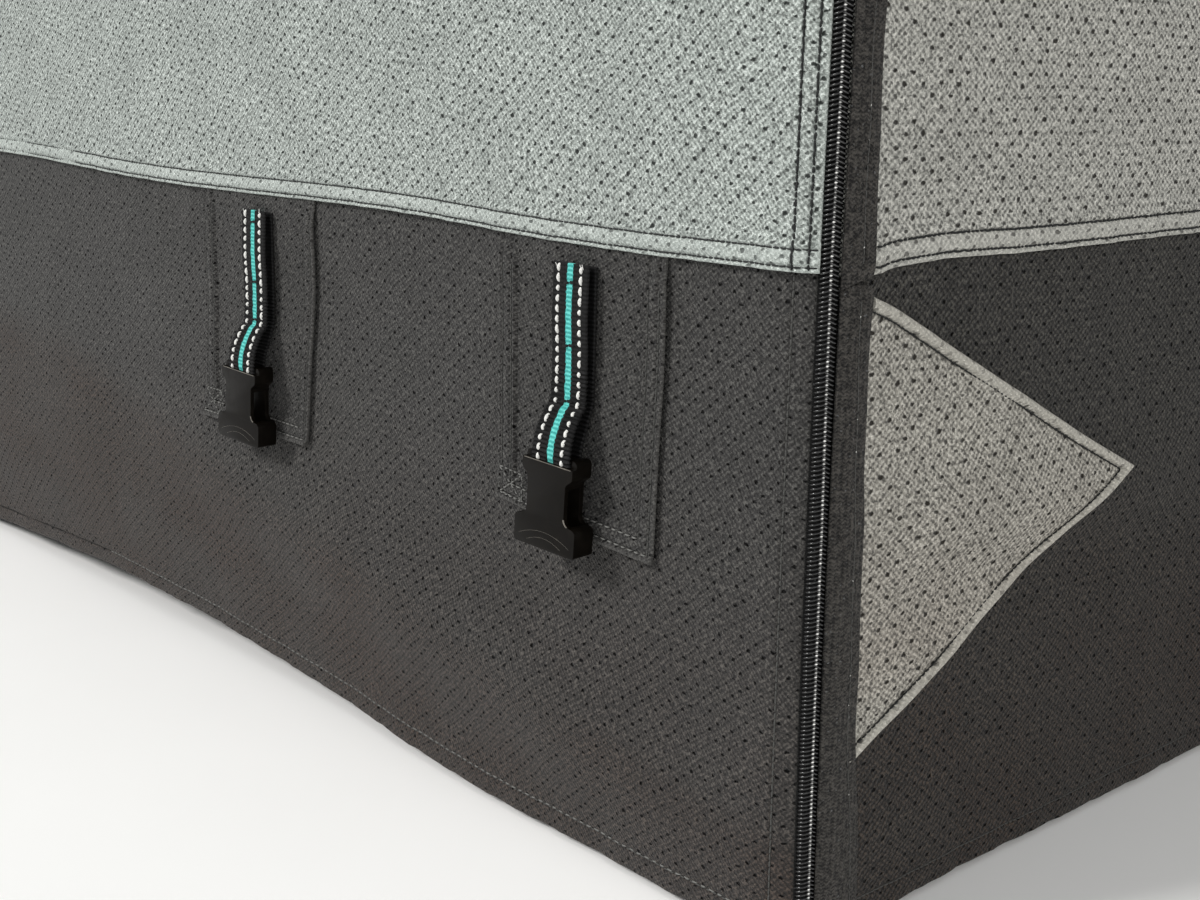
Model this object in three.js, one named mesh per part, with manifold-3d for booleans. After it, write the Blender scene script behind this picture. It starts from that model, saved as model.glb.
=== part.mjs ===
// Fitted cover for a folding camper, in millimetres, +Z up.
// X runs across the cover, Y along it. The front faces -Y and the zipped corner is at +X, -Y.
// Every sheet hangs at one of a few depths below or above the skin of the light walls.
import * as THREE from "three";
import { mergeVertices } from "three/addons/utils/BufferGeometryUtils.js";
import Module from "manifold-3d";

const wasm = await Module();
wasm.setup();

// Driving sizes of the cover
const COVER_WIDTH = 2160;
const COVER_LENGTH = 3050;
const COVER_HEIGHT = 1070;
const CORNER_RADIUS = 30;
const SEAM_HEIGHT = 308;

// Roof: its hem, the round of its edge, and the crown. Towards the crown the plan corners grow rounder.
const ROOF_HEM_HEIGHT = 975;
const EDGE_START = 995;
const EDGE_RADIUS = 45;
const CROWN = COVER_HEIGHT - EDGE_START - EDGE_RADIUS;
const CORNER_GROWTH = 0.9;

// Cloth: thickness, the air between two layers, and the hems
const CLOTH = 2.0;
const GAP = 0.3;
const HEM_WIDTH = 11;
const HEM_RISE = 0.8;
const HEM_SLOPE = 2;
const LAP = HEM_WIDTH + HEM_SLOPE;

// Depth of each layer's outer face from the skin of the light walls, outwards
const WALL_FACE = 0;
const BAND_FACE = WALL_FACE - CLOTH - GAP;
const ROOF_FACE = WALL_FACE + CLOTH + GAP;
const PATCH_THICKNESS = 1.4;
const PATCH_FACE = BAND_FACE + GAP + PATCH_THICKNESS;
const TRIANGLE_FACE = BAND_FACE + GAP + CLOTH;
const TAPE_THICKNESS = 1.0;
const TAPE_FACE = WALL_FACE + HEM_RISE + GAP + TAPE_THICKNESS;

// Zip on the rounded corner: arc length from the front wall to the middle of the coil
const ZIP_ARC = 26.7;
const COIL_WIDTH = 8;
const COIL_BACK = -1.8;
const COIL_FRONT = 2.2;
const ZIP_TOP = 964;
const ZIP_DRIFT = 2.2;
const TAPE_SHORT_OF_FLAT = 3.3;
const TAPE_WIDENING = 7;
const DRIFT_DEPTH = 225;
const TAPE_FOLD = 3;
const TAPE_CORNER = 4;

// Patches, straps and buckles: places are measured along the front wall from the zipped corner
const STRAP_PLACES = [
  { name: "near", patchRight: 92, patchLeft: 209, lean: 1.4, rise: 9, strap: 149 },
  { name: "far", patchRight: 375, patchLeft: 501, lean: 12, rise: 0, strap: 431 },
];
const PATCH_BOTTOM = SEAM_HEIGHT - 146;
const WEB_WIDTH = 25;
const WEB_THICKNESS = 1.8;
const STRAP_TOP = SEAM_HEIGHT - 11;
const STRAP_BEND = SEAM_HEIGHT - 80;
const STRAP_FACE = 7.4;
const BUCKLE_TOP = SEAM_HEIGHT - 101.5;
const BUCKLE_LENGTH = 47;
const BUCKLE_DEPTH = 13;
const BUCKLE_STAND_OFF = 7;
const BUCKLE_TURN = THREE.MathUtils.degToRad(4);
const BUCKLE_ROLL = THREE.MathUtils.degToRad(3);
const BAR_HALF = 16;
const WAIST_HALF = 12.75;
const MOUTH_HALF = 19.5;
const SLOT_HALF = 13.1;
const BAR_DEPTH = 5;
const BAR_HEIGHT = 2.7;
const SLOT_HEIGHT = 2.8;
const SOCKET_WIDTH = 31;
const SOCKET_DEPTH = 8;
const SOCKET_TOP = 15;
const HEAD_ROUND = 2.5;
const HEAD_BOTTOM = 8.5;
const WAIST_TOP = 13.5;
const SHOULDER_TOP = 29.5;
const SHOULDER_BOTTOM = 33.8;
const SHOULDER_BULGE = 2;
const MOUTH_FLARE = 0.5;

// Light triangle on the side band, measured along the side wall from the zipped corner
const TRIANGLE_BASE = 30.6;
const TRIANGLE_APEX = 250;
const TRIANGLE_TOP = SEAM_HEIGHT - 9;
const TRIANGLE_MIDDLE = SEAM_HEIGHT - 117;
const TRIANGLE_BOTTOM = SEAM_HEIGHT - 226;
const POINT_WIDTH = 0.6;

// Lengths of one straight and one round stretch of the plan outline
const QUARTER = (Math.PI / 2) * CORNER_RADIUS;
const ACROSS = COVER_WIDTH - 2 * CORNER_RADIUS;
const ALONG = COVER_LENGTH - 2 * CORNER_RADIUS;
const ROUND = 2 * (ACROSS + ALONG) + 4 * QUARTER;

// Broad folds. at: along the wall from its first corner, z: height, half sizes of the swell, out: its relief,
// slope: how fast its crest rises along the wall.
const FOLDS = {
  front: [
    { at: 200, z: 84, halfLength: 175, halfHeight: 64, out: 6, slope: 0.2 },
    { at: 700, z: 0, halfLength: 520, halfHeight: 74, out: -9, slope: 0 },
    { at: 820, z: 120, halfLength: 300, halfHeight: 80, out: 6, slope: -0.08 },
    { at: 1480, z: 90, halfLength: 340, halfHeight: 84, out: 8, slope: 0.1 },
    { at: 1900, z: 0, halfLength: 200, halfHeight: 70, out: -7, slope: 0 },
    { at: 640, z: 640, halfLength: 460, halfHeight: 280, out: -9, slope: 0.1 },
    { at: 1420, z: 600, halfLength: 480, halfHeight: 300, out: 9, slope: -0.1 },
  ],
  right: [
    { at: 145, z: 172, halfLength: 250, halfHeight: 46, out: 2.6, slope: 0 },
    { at: 640, z: 100, halfLength: 330, halfHeight: 90, out: 8, slope: 0.1 },
    { at: 1250, z: 0, halfLength: 420, halfHeight: 80, out: -8, slope: 0 },
    { at: 1750, z: 120, halfLength: 420, halfHeight: 90, out: 9, slope: -0.06 },
    { at: 2500, z: 60, halfLength: 380, halfHeight: 90, out: 7, slope: 0.05 },
    { at: 330, z: 600, halfLength: 270, halfHeight: 270, out: 5, slope: 0 },
    { at: 760, z: 620, halfLength: 520, halfHeight: 290, out: -9, slope: 0.1 },
    { at: 1600, z: 660, halfLength: 560, halfHeight: 280, out: 10, slope: -0.08 },
    { at: 2440, z: 620, halfLength: 480, halfHeight: 280, out: -8, slope: 0 },
  ],
  rear: [
    { at: 420, z: 90, halfLength: 300, halfHeight: 90, out: 7, slope: 0.1 },
    { at: 1050, z: 0, halfLength: 420, halfHeight: 80, out: -8, slope: 0 },
    { at: 1650, z: 110, halfLength: 320, halfHeight: 90, out: 7, slope: -0.1 },
    { at: 700, z: 640, halfLength: 480, halfHeight: 280, out: -8, slope: 0.1 },
    { at: 1480, z: 620, halfLength: 460, halfHeight: 280, out: 9, slope: -0.1 },
  ],
  left: [
    { at: 520, z: 100, halfLength: 360, halfHeight: 90, out: 8, slope: 0.08 },
    { at: 1180, z: 0, halfLength: 420, halfHeight: 80, out: -8, slope: 0 },
    { at: 1780, z: 110, halfLength: 420, halfHeight: 90, out: 8, slope: -0.06 },
    { at: 2520, z: 80, halfLength: 360, halfHeight: 90, out: 7, slope: 0.05 },
    { at: 680, z: 640, halfLength: 500, halfHeight: 280, out: -9, slope: 0.08 },
    { at: 1520, z: 640, halfLength: 560, halfHeight: 280, out: 9, slope: 0 },
    { at: 2380, z: 640, halfLength: 480, halfHeight: 280, out: -9, slope: -0.08 },
  ],
};

// Where the bottom hem is drawn up: at along the wall, half length of the arch, up at its middle
const HEM_ARCHES = {
  front: [
    { at: 620, halfLength: 440, up: 17 },
    { at: 1560, halfLength: 380, up: 10 },
  ],
  right: [
    { at: 900, halfLength: 420, up: 11 },
    { at: 2150, halfLength: 500, up: 9 },
  ],
  rear: [{ at: 1180, halfLength: 520, up: 12 }],
  left: [
    { at: 860, halfLength: 460, up: 9 },
    { at: 2080, halfLength: 480, up: 12 },
  ],
};
const ARCH_REACH = 130;

// Broad swells of the roof cloth, at x and y from its middle
const ROOF_FOLDS = [
  { x: -300, y: -900, halfX: 760, halfY: 420, out: -6 },
  { x: 300, y: -450, halfX: 800, halfY: 420, out: 6 },
  { x: -250, y: 700, halfX: 760, halfY: 460, out: -6 },
];

// Where the cloth is divided. The strap patches, the triangle and the laps end on these lines.
const ARC_STEPS = [0, QUARTER / 4, QUARTER / 2];
const FRONT_PLACES = [
  ...[62, 92, 150, 209, 290, 375, 438, 501, 620],
  ...[760, 900, 1040, 1190, 1340, 1490, 1640, 1790, 1940],
];
const SIDE_PLACES = [
  ...[140, 250, 390, 560, 730, 900, 1080, 1260, 1440],
  ...[1620, 1800, 1980, 2160, 2340, 2520, 2700, 2870],
];
const REAR_PLACES = [160, 310, 470, 640, 810, 980, 1150, 1320, 1490, 1660, 1820, 1960];
const FRONT_ROWS = [
  ...[0, HEM_WIDTH, LAP, 40, 70, 100, 130],
  ...[PATCH_BOTTOM, 218, SEAM_HEIGHT, SEAM_HEIGHT + LAP],
];
const SIDE_ROWS = [0, HEM_WIDTH, LAP, 40, 82, 128, 172, 218, SEAM_HEIGHT, SEAM_HEIGHT + LAP];
const PLAIN_ROWS = [0, HEM_WIDTH, LAP, 50, 100, 170, SEAM_HEIGHT, SEAM_HEIGHT + LAP];
const UPPER_ROWS = [
  SEAM_HEIGHT,
  SEAM_HEIGHT + HEM_WIDTH,
  SEAM_HEIGHT + LAP,
  430,
  560,
  700,
  840,
  ROOF_HEM_HEIGHT,
  ROOF_HEM_HEIGHT + LAP,
];

const LIGHT_CLOTH = { color: 0xa3aaa6, roughness: 0.9, metalness: 0 };
const DARK_CLOTH = { color: 0x4b4a48, roughness: 0.92, metalness: 0 };
const TAPE_CLOTH = { color: 0x2e2b29, roughness: 0.85, metalness: 0 };
const WEBBING = { color: 0x151516, roughness: 0.75, metalness: 0 };
const BLACK_PLASTIC = { color: 0x1b1b1c, roughness: 0.35, metalness: 0 };

const cover = new THREE.Group();

function addMesh(name, geometry, finish) {
  const mesh = new THREE.Mesh(geometry, new THREE.MeshStandardMaterial(finish));
  mesh.name = name;
  cover.add(mesh);
  return mesh;
}

// A swell that is full over the middle half of its reach and fades to nothing at its end
function swell(distance, half) {
  const reach = Math.abs(distance) / half;
  if (reach >= 1) return 0;
  return reach <= 0.5 ? 1 : 0.5 + 0.5 * Math.cos(2 * Math.PI * (reach - 0.5));
}

// A crest that falls away from its middle at once
function crest(distance, half) {
  const reach = Math.abs(distance) / half;
  return reach >= 1 ? 0 : 0.5 + 0.5 * Math.cos(Math.PI * reach);
}

function foldRelief(folds, at, z) {
  let relief = 0;
  for (const fold of folds) {
    const middle = fold.z + fold.slope * (at - fold.at);
    relief += fold.out * swell(at - fold.at, fold.halfLength) * crest(z - middle, fold.halfHeight);
  }
  return relief;
}

// The stretch of a rising list that holds a value, and the share of the way through it
function locate(lines, value) {
  let i = 0;
  while (i < lines.length - 2 && lines[i + 1] <= value) i += 1;
  const share = (value - lines[i]) / (lines[i + 1] - lines[i]);
  return { i, share: THREE.MathUtils.clamp(share, 0, 1) };
}

// The plan outline, run anticlockwise from the end of the front wall. inset draws it in, rounder.
const STRETCHES = [
  { length: QUARTER, corner: [1, -1], from: -90 },
  { length: ALONG, side: [1, 0] },
  { length: QUARTER, corner: [1, 1], from: 0 },
  { length: ACROSS, side: [0, 1] },
  { length: QUARTER, corner: [-1, 1], from: 90 },
  { length: ALONG, side: [-1, 0] },
  { length: QUARTER, corner: [-1, -1], from: 180 },
  { length: ACROSS, side: [0, -1] },
];

function outlinePoint(run, inset = 0) {
  const radius = CORNER_RADIUS + CORNER_GROWTH * inset;
  const halfX = COVER_WIDTH / 2 - inset;
  const halfY = COVER_LENGTH / 2 - inset;
  let rest = ((run % ROUND) + ROUND) % ROUND;
  let stretch = STRETCHES[0];
  for (stretch of STRETCHES) {
    if (rest <= stretch.length) break;
    rest -= stretch.length;
  }
  const share = Math.min(rest / stretch.length, 1);
  if (stretch.corner) {
    const angle = THREE.MathUtils.degToRad(stretch.from + 90 * share);
    const out = new THREE.Vector3(Math.cos(angle), Math.sin(angle), 0);
    const middle = new THREE.Vector3(
      stretch.corner[0] * (halfX - radius),
      stretch.corner[1] * (halfY - radius),
      0,
    );
    return { point: middle.addScaledVector(out, radius), out };
  }
  const out = new THREE.Vector3(stretch.side[0], stretch.side[1], 0);
  const alongDirection = new THREE.Vector3(-out.y, out.x, 0);
  const half = out.x ? halfX : halfY;
  const halfRun = (out.x ? halfY : halfX) - radius;
  const point = out
    .clone()
    .multiplyScalar(half)
    .addScaledVector(alongDirection, (2 * share - 1) * halfRun);
  return { point, out };
}

// The four walls: where each starts on the outline, and the lines that divide it
function wall(name, start, length, places, rows) {
  const straight = places.map((place) => place - CORNER_RADIUS);
  const lines = [
    ...ARC_STEPS.slice(1).map((arc) => -arc).reverse(),
    0,
    ...(name === "front" ? straight.map((place) => length - place).reverse() : straight),
    length,
    ...ARC_STEPS.slice(1).map((arc) => length + arc),
  ];
  return {
    name,
    start,
    length,
    rows,
    folds: FOLDS[name],
    arches: HEM_ARCHES[name],
    lines: lines.map((line) => start + line),
  };
}

const WALLS = {
  right: wall("right", QUARTER, ALONG, SIDE_PLACES, SIDE_ROWS),
  rear: wall("rear", 2 * QUARTER + ALONG, ACROSS, REAR_PLACES, PLAIN_ROWS),
  left: wall("left", 3 * QUARTER + ALONG + ACROSS, ALONG, SIDE_PLACES, PLAIN_ROWS),
  front: wall("front", -ACROSS, ACROSS, FRONT_PLACES, FRONT_ROWS),
};

// The zip leans a little round the corner below the seam
function belowSeam(z) {
  return Math.max(0, SEAM_HEIGHT - z) / DRIFT_DEPTH;
}

function zipDrift(z) {
  return ZIP_DRIFT * belowSeam(z) ** 2;
}

const PANEL_END = ZIP_ARC - COIL_WIDTH / 2 - GAP;
const TAPE_START = ZIP_ARC + COIL_WIDTH / 2 + GAP;
WALLS.front.lines.splice(-2, 2, PANEL_END / 2, PANEL_END);
WALLS.right.lines.splice(0, 2, TAPE_START, (TAPE_START + QUARTER) / 2);

// Distance along a wall from its first corner: the front is measured from the zip, backwards.
// Folds end where a wall turns its corners, and there it gives nothing.
function placeOn(side, run) {
  const place = run - side.start;
  if (place < 0 || place > side.length) return null;
  return CORNER_RADIUS + (side.name === "front" ? side.length - place : place);
}

// A value that the wall's own divisions give, read off straight lines between them,
// so that two layers at one place keep their distance.
function betweenLines(side, run, valueAt) {
  const { i, share } = locate(side.lines, run);
  const [before, after] = [side.lines[i], side.lines[i + 1]].map((line) => {
    const at = placeOn(side, line);
    return at === null ? 0 : valueAt(at);
  });
  return THREE.MathUtils.lerp(before, after, share);
}

function wallRelief(side, run, z) {
  const rows = z <= SEAM_HEIGHT + LAP ? side.rows : UPPER_ROWS;
  const { i, share } = locate(rows, z);
  return betweenLines(side, run, (at) =>
    THREE.MathUtils.lerp(
      foldRelief(side.folds, at, rows[i]),
      foldRelief(side.folds, at, rows[i + 1]),
      share,
    ),
  );
}

function hemArch(side, run, z) {
  if (z >= ARCH_REACH) return 0;
  const up = betweenLines(side, run, (at) =>
    side.arches.reduce((sum, arch) => sum + arch.up * crest(at - arch.at, arch.halfLength), 0),
  );
  return up * (1 - z / ARCH_REACH);
}

function wallPoint(side, run, z, face) {
  const { point, out } = outlinePoint(run);
  point.addScaledVector(out, face + wallRelief(side, run, z));
  point.z = z + hemArch(side, run, z);
  return point;
}

// A closed body between two grids of points, each grid a list of columns that run up the cloth.
// looped joins the last column to the first, tips closes the top with one point on each face.
// Both grids split their quads along the same diagonal, so that a twisted quad keeps its thickness.
function clothBody(outer, inner, looped = false, tips = null) {
  const columns = outer.length;
  const rows = outer[0].length;
  const points = [...outer.flat(), ...inner.flat()];
  const at = (face, column, row) => face * columns * rows + (column % columns) * rows + row;
  const faces = [];
  const quad = (a, b, c, d) => faces.push(a, b, c, a, c, d);
  const spans = looped ? columns : columns - 1;
  for (let i = 0; i < spans; i += 1) {
    for (let j = 0; j < rows - 1; j += 1) {
      quad(at(0, i, j), at(0, i + 1, j), at(0, i + 1, j + 1), at(0, i, j + 1));
      quad(at(1, i, j), at(1, i, j + 1), at(1, i + 1, j + 1), at(1, i + 1, j));
    }
    quad(at(1, i, 0), at(1, i + 1, 0), at(0, i + 1, 0), at(0, i, 0));
    if (tips) {
      faces.push(at(0, i, rows - 1), at(0, i + 1, rows - 1), points.length);
      faces.push(at(1, i + 1, rows - 1), at(1, i, rows - 1), points.length + 1);
    } else {
      quad(at(0, i, rows - 1), at(0, i + 1, rows - 1), at(1, i + 1, rows - 1), at(1, i, rows - 1));
    }
  }
  if (!looped) {
    const last = columns - 1;
    for (let j = 0; j < rows - 1; j += 1) {
      quad(at(1, 0, j), at(0, 0, j), at(0, 0, j + 1), at(1, 0, j + 1));
      quad(at(0, last, j), at(1, last, j), at(1, last, j + 1), at(0, last, j + 1));
    }
  }
  if (tips) points.push(...tips);
  const geometry = new THREE.BufferGeometry().setFromPoints(points);
  geometry.setIndex(faces);
  return geometry;
}

// A sheet on a wall: runs and rows divide it, shift moves a division sideways at a height
function wallSheet(side, runs, rows, faceAt, thicknessAt, shift = (run) => run) {
  const grid = (depthAt) =>
    runs.map((run, i) => rows.map((z, j) => wallPoint(side, shift(run, z, i, j), z, depthAt(z))));
  return clothBody(
    grid((z) => faceAt(z)),
    grid((z) => faceAt(z) - thicknessAt(z)),
  );
}

const cornerShift = (run, z) => (run === PANEL_END || run === TAPE_START ? run + zipDrift(z) : run);

function hemRise(z, hemStart) {
  const past = (z - hemStart - HEM_WIDTH) / HEM_SLOPE;
  return HEM_RISE * THREE.MathUtils.clamp(1 - past, 0, 1);
}

// Two butted cloths leave the usual air between them where they meet on a corner
function wallRuns(side) {
  const runs = [...side.lines];
  if (side.name !== "right") runs[0] += GAP / 2;
  if (side.name !== "front") runs[runs.length - 1] -= GAP / 2;
  return runs;
}

function addWall(side) {
  const upper = wallSheet(
    side,
    wallRuns(side),
    UPPER_ROWS,
    (z) => WALL_FACE + hemRise(z, SEAM_HEIGHT),
    (z) => CLOTH + hemRise(z, SEAM_HEIGHT),
    cornerShift,
  );
  addMesh(side.name + "_upper_panel", upper, LIGHT_CLOTH);
  const lower = wallSheet(
    side,
    wallRuns(side),
    side.rows,
    () => BAND_FACE,
    (z) => CLOTH + hemRise(z, 0),
    cornerShift,
  );
  addMesh(side.name + "_lower_band", lower, DARK_CLOTH);
}

// The roof cloth laps over the walls, turns over the edge and rises to a low crown
const ROOF_ROWS = [
  { z: ROOF_HEM_HEIGHT, tilt: 0, rise: HEM_RISE },
  { z: ROOF_HEM_HEIGHT + HEM_WIDTH, tilt: 0, rise: HEM_RISE },
  { z: ROOF_HEM_HEIGHT + LAP, tilt: 0, rise: 0 },
  { z: EDGE_START, tilt: 0, rise: 0 },
  { tilt: 30, rise: 0 },
  { tilt: 60, rise: 0 },
  { tilt: 90, rise: 0 },
  { reach: 0.8, tilt: 90, rise: 0 },
  { reach: 0.5, tilt: 90, rise: 0 },
  { reach: 0.22, tilt: 90, rise: 0 },
];

function crownHeight(x, y) {
  const acrossShare = x / (COVER_WIDTH / 2 - EDGE_RADIUS);
  const alongShare = y / (COVER_LENGTH / 2 - EDGE_RADIUS);
  let height = CROWN * (1 - acrossShare ** 2) * (1 - alongShare ** 4);
  for (const fold of ROOF_FOLDS) {
    height += fold.out * crest(x - fold.x, fold.halfX) * crest(y - fold.y, fold.halfY);
  }
  return EDGE_START + EDGE_RADIUS + Math.max(0, height);
}

function roofPoint(run, row, face) {
  const tilt = THREE.MathUtils.degToRad(row.tilt);
  const inset = EDGE_RADIUS * (1 - Math.cos(tilt));
  const { point, out } = outlinePoint(run, inset);
  if (row.reach) point.multiplyScalar(row.reach);
  point.z = row.z ?? EDGE_START + EDGE_RADIUS * Math.sin(tilt);
  if (row.tilt === 90) point.z = crownHeight(point.x, point.y);
  point.addScaledVector(out, face * Math.cos(tilt));
  point.z += face * Math.sin(tilt);
  return point;
}

function roofPanel() {
  const runs = Object.values(WALLS).flatMap((side) => side.lines);
  const sorted = [...new Set(runs.map((run) => ((run + ROUND) % ROUND).toFixed(3)))].map(Number);
  sorted.sort((a, b) => a - b);
  const grid = (depth) =>
    sorted.map((run) => ROOF_ROWS.map((row) => roofPoint(run, row, ROOF_FACE + depth(row))));
  const top = (depth) => new THREE.Vector3(0, 0, crownHeight(0, 0) + ROOF_FACE + depth);
  return clothBody(
    grid((row) => row.rise),
    grid(() => -CLOTH),
    true,
    [top(0), top(-CLOTH)],
  );
}

// A flat patch on the front band, its foot and its outer edge a little uneven.
// across: share of its width, rise and lean: shares of the unevenness given for its place.
const PATCH_COLUMNS = [
  { across: 0, rise: 1, lean: 0 },
  { across: 0.5, rise: 0.35, lean: 0 },
  { across: 1, rise: 0, lean: 1 },
];
const PATCH_HEIGHTS = [0, 0.25, 0.55, 1];

function strapPatch(place) {
  const runAt = (fromCorner) => CORNER_RADIUS - fromCorner;
  const left = runAt(place.patchLeft);
  const right = runAt(place.patchRight);
  const top = SEAM_HEIGHT - GAP;
  const grid = (face) =>
    PATCH_COLUMNS.map(({ across, rise, lean }) =>
      PATCH_HEIGHTS.map((share) => {
        const z = THREE.MathUtils.lerp(PATCH_BOTTOM + rise * place.rise, top, share);
        const drift = lean * place.lean * (1 - share) ** 2;
        return wallPoint(WALLS.front, THREE.MathUtils.lerp(left, right, across) - drift, z, face);
      }),
    );
  return clothBody(grid(PATCH_FACE), grid(PATCH_FACE - PATCH_THICKNESS));
}

// The triangle's rows fall where the side band's do, so that both follow one fold
function sideTriangle() {
  const rows = [TRIANGLE_BOTTOM, ...SIDE_ROWS, TRIANGLE_MIDDLE, TRIANGLE_TOP]
    .filter((z) => z >= TRIANGLE_BOTTOM && z <= TRIANGLE_TOP)
    .sort((a, b) => a - b);
  const reach = (z) => {
    const edge = z > TRIANGLE_MIDDLE ? TRIANGLE_TOP : TRIANGLE_BOTTOM;
    const share = (edge - z) / (edge - TRIANGLE_MIDDLE);
    return Math.max(POINT_WIDTH, share * (TRIANGLE_APEX - TRIANGLE_BASE));
  };
  const start = QUARTER + TRIANGLE_BASE - CORNER_RADIUS;
  const shift = (run, z, i) => start + (i ? reach(z) : 0);
  return wallSheet(WALLS.right, [0, 1], rows, () => TRIANGLE_FACE, () => CLOTH, shift);
}

// Zip tape on the side of the coil, from the corner's round on to the flat of the side wall
function zipTape(bottom, top, cutCorner) {
  const lines = [...new Set([...SIDE_ROWS, ...UPPER_ROWS])].sort((a, b) => a - b);
  const between = lines.filter((z) => z > bottom + TAPE_CORNER && z < top - TAPE_CORNER);
  const heights = [bottom, ...between, top];
  const end = QUARTER - TAPE_SHORT_OF_FLAT;
  const runs = [TAPE_START, (TAPE_START + QUARTER) / 2, end - TAPE_CORNER, end - 1, end];
  const grid = (face) =>
    runs.map((run, i) =>
      heights.map((height, j) => {
        const widening = i ? TAPE_WIDENING * belowSeam(height) ** 2 * (i / (runs.length - 1)) : 0;
        const drift = i ? 0 : zipDrift(height);
        const cut = cutCorner && j === heights.length - 1 ? cornerCut(i, runs.length) : 0;
        return wallPoint(WALLS.right, run + widening + drift, height - cut, face);
      }),
    );
  return clothBody(grid(TAPE_FACE), grid(TAPE_FACE - TAPE_THICKNESS));
}

// How far the top edge drops at the last two divisions of a rounded corner
function cornerCut(i, count) {
  if (i === count - 1) return TAPE_CORNER;
  return i === count - 2 ? TAPE_CORNER / 3 : 0;
}

// The closed coil: one strip with two rows of rounded ridges and a groove between them
const COIL_SECTION = [
  { across: -1, face: COIL_BACK },
  { across: -1, face: 0.6 },
  { across: -0.62, face: COIL_FRONT },
  { across: -0.2, face: COIL_FRONT - 0.5 },
  { across: 0.2, face: COIL_FRONT - 0.5 },
  { across: 0.62, face: COIL_FRONT },
  { across: 1, face: 0.6 },
  { across: 1, face: COIL_BACK },
];

function zipCoil() {
  const heights = [0, 60, 120, 180, 240, SEAM_HEIGHT, ZIP_TOP];
  const points = heights.flatMap((z) =>
    COIL_SECTION.map(({ across, face }) => {
      const run = ZIP_ARC + (across * COIL_WIDTH) / 2 + zipDrift(z);
      const { point, out } = outlinePoint(run);
      point.addScaledVector(out, face);
      point.z = z;
      return point;
    }),
  );
  const count = COIL_SECTION.length;
  const faces = [];
  for (let j = 0; j < heights.length - 1; j += 1) {
    for (let i = 0; i < count; i += 1) {
      const next = (i + 1) % count;
      const [a, b] = [j * count + i, j * count + next];
      faces.push(a, b, b + count, a, b + count, a + count);
    }
  }
  const section = COIL_SECTION.map(
    ({ across, face }) => new THREE.Vector2((across * COIL_WIDTH) / 2, face),
  );
  const lid = THREE.ShapeUtils.triangulateShape(section, []);
  const top = (heights.length - 1) * count;
  const turned = THREE.ShapeUtils.isClockWise(section);
  for (const [a, b, c] of lid) {
    const [p, q, r] = turned ? [a, b, c] : [a, c, b];
    faces.push(p, q, r);
    faces.push(top + p, top + r, top + q);
  }
  const geometry = new THREE.BufferGeometry().setFromPoints(points);
  geometry.setIndex(faces);
  return geometry;
}

// Buckle frame: x across towards the far end of the wall, y down from the buckle's top edge,
// z out of the wall from its back face
function buckleFrame(place) {
  const group = new THREE.Group();
  const wallX = COVER_WIDTH / 2 - place.strap;
  const wallY = -COVER_LENGTH / 2 - PATCH_FACE - BUCKLE_STAND_OFF;
  group.position.set(wallX, wallY, BUCKLE_TOP);
  const turn = new THREE.Matrix4().makeRotationZ(BUCKLE_TURN);
  const roll = new THREE.Matrix4().makeRotationY(BUCKLE_ROLL);
  const stand = new THREE.Matrix4().makeBasis(
    new THREE.Vector3(-1, 0, 0),
    new THREE.Vector3(0, 0, -1),
    new THREE.Vector3(0, -1, 0),
  );
  group.quaternion.setFromRotationMatrix(turn.multiply(roll).multiply(stand));
  group.updateMatrixWorld(true);
  return group;
}

function solidOf(geometry) {
  const bare = geometry.clone();
  bare.deleteAttribute("normal");
  bare.deleteAttribute("uv");
  const merged = mergeVertices(bare, 1e-3);
  return new wasm.Manifold(
    new wasm.Mesh({
      numProp: 3,
      vertProperties: merged.attributes.position.array,
      triVerts: new Uint32Array(merged.index.array),
    }),
  );
}

function geometryOf(solid) {
  const mesh = solid.getMesh();
  const geometry = new THREE.BufferGeometry();
  geometry.setAttribute("position", new THREE.BufferAttribute(mesh.vertProperties, 3));
  geometry.setIndex(new THREE.BufferAttribute(mesh.triVerts, 1));
  return geometry;
}

// A block by its sizes, its top edge and its depth from the back face
function block(width, top, bottom, back, front) {
  const geometry = new THREE.BoxGeometry(width, bottom - top, front - back);
  geometry.translate(0, (top + bottom) / 2, (back + front) / 2);
  return solidOf(geometry);
}

const CUT_PAST = 2;

// The buckle's outline: one half, then the same curves back up the other side
function buckleShape() {
  const shoulder = MOUTH_HALF - MOUTH_FLARE;
  const shape = new THREE.Shape();
  shape.moveTo(0, 0);
  shape.lineTo(BAR_HALF - HEAD_ROUND, 0);
  shape.quadraticCurveTo(BAR_HALF, 0, BAR_HALF, HEAD_ROUND);
  shape.lineTo(BAR_HALF, HEAD_BOTTOM);
  shape.quadraticCurveTo(WAIST_HALF, HEAD_BOTTOM, WAIST_HALF, WAIST_TOP);
  shape.lineTo(WAIST_HALF, SHOULDER_TOP);
  shape.quadraticCurveTo(WAIST_HALF, SHOULDER_TOP + SHOULDER_BULGE, shoulder, SHOULDER_BOTTOM);
  shape.lineTo(MOUTH_HALF, BUCKLE_LENGTH);
  shape.lineTo(-MOUTH_HALF, BUCKLE_LENGTH);
  shape.lineTo(-shoulder, SHOULDER_BOTTOM);
  shape.quadraticCurveTo(-WAIST_HALF, SHOULDER_TOP + SHOULDER_BULGE, -WAIST_HALF, SHOULDER_TOP);
  shape.lineTo(-WAIST_HALF, WAIST_TOP);
  shape.quadraticCurveTo(-WAIST_HALF, HEAD_BOTTOM, -BAR_HALF, HEAD_BOTTOM);
  shape.lineTo(-BAR_HALF, HEAD_ROUND);
  shape.quadraticCurveTo(-BAR_HALF, 0, -BAR_HALF + HEAD_ROUND, 0);
  return shape;
}

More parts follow.
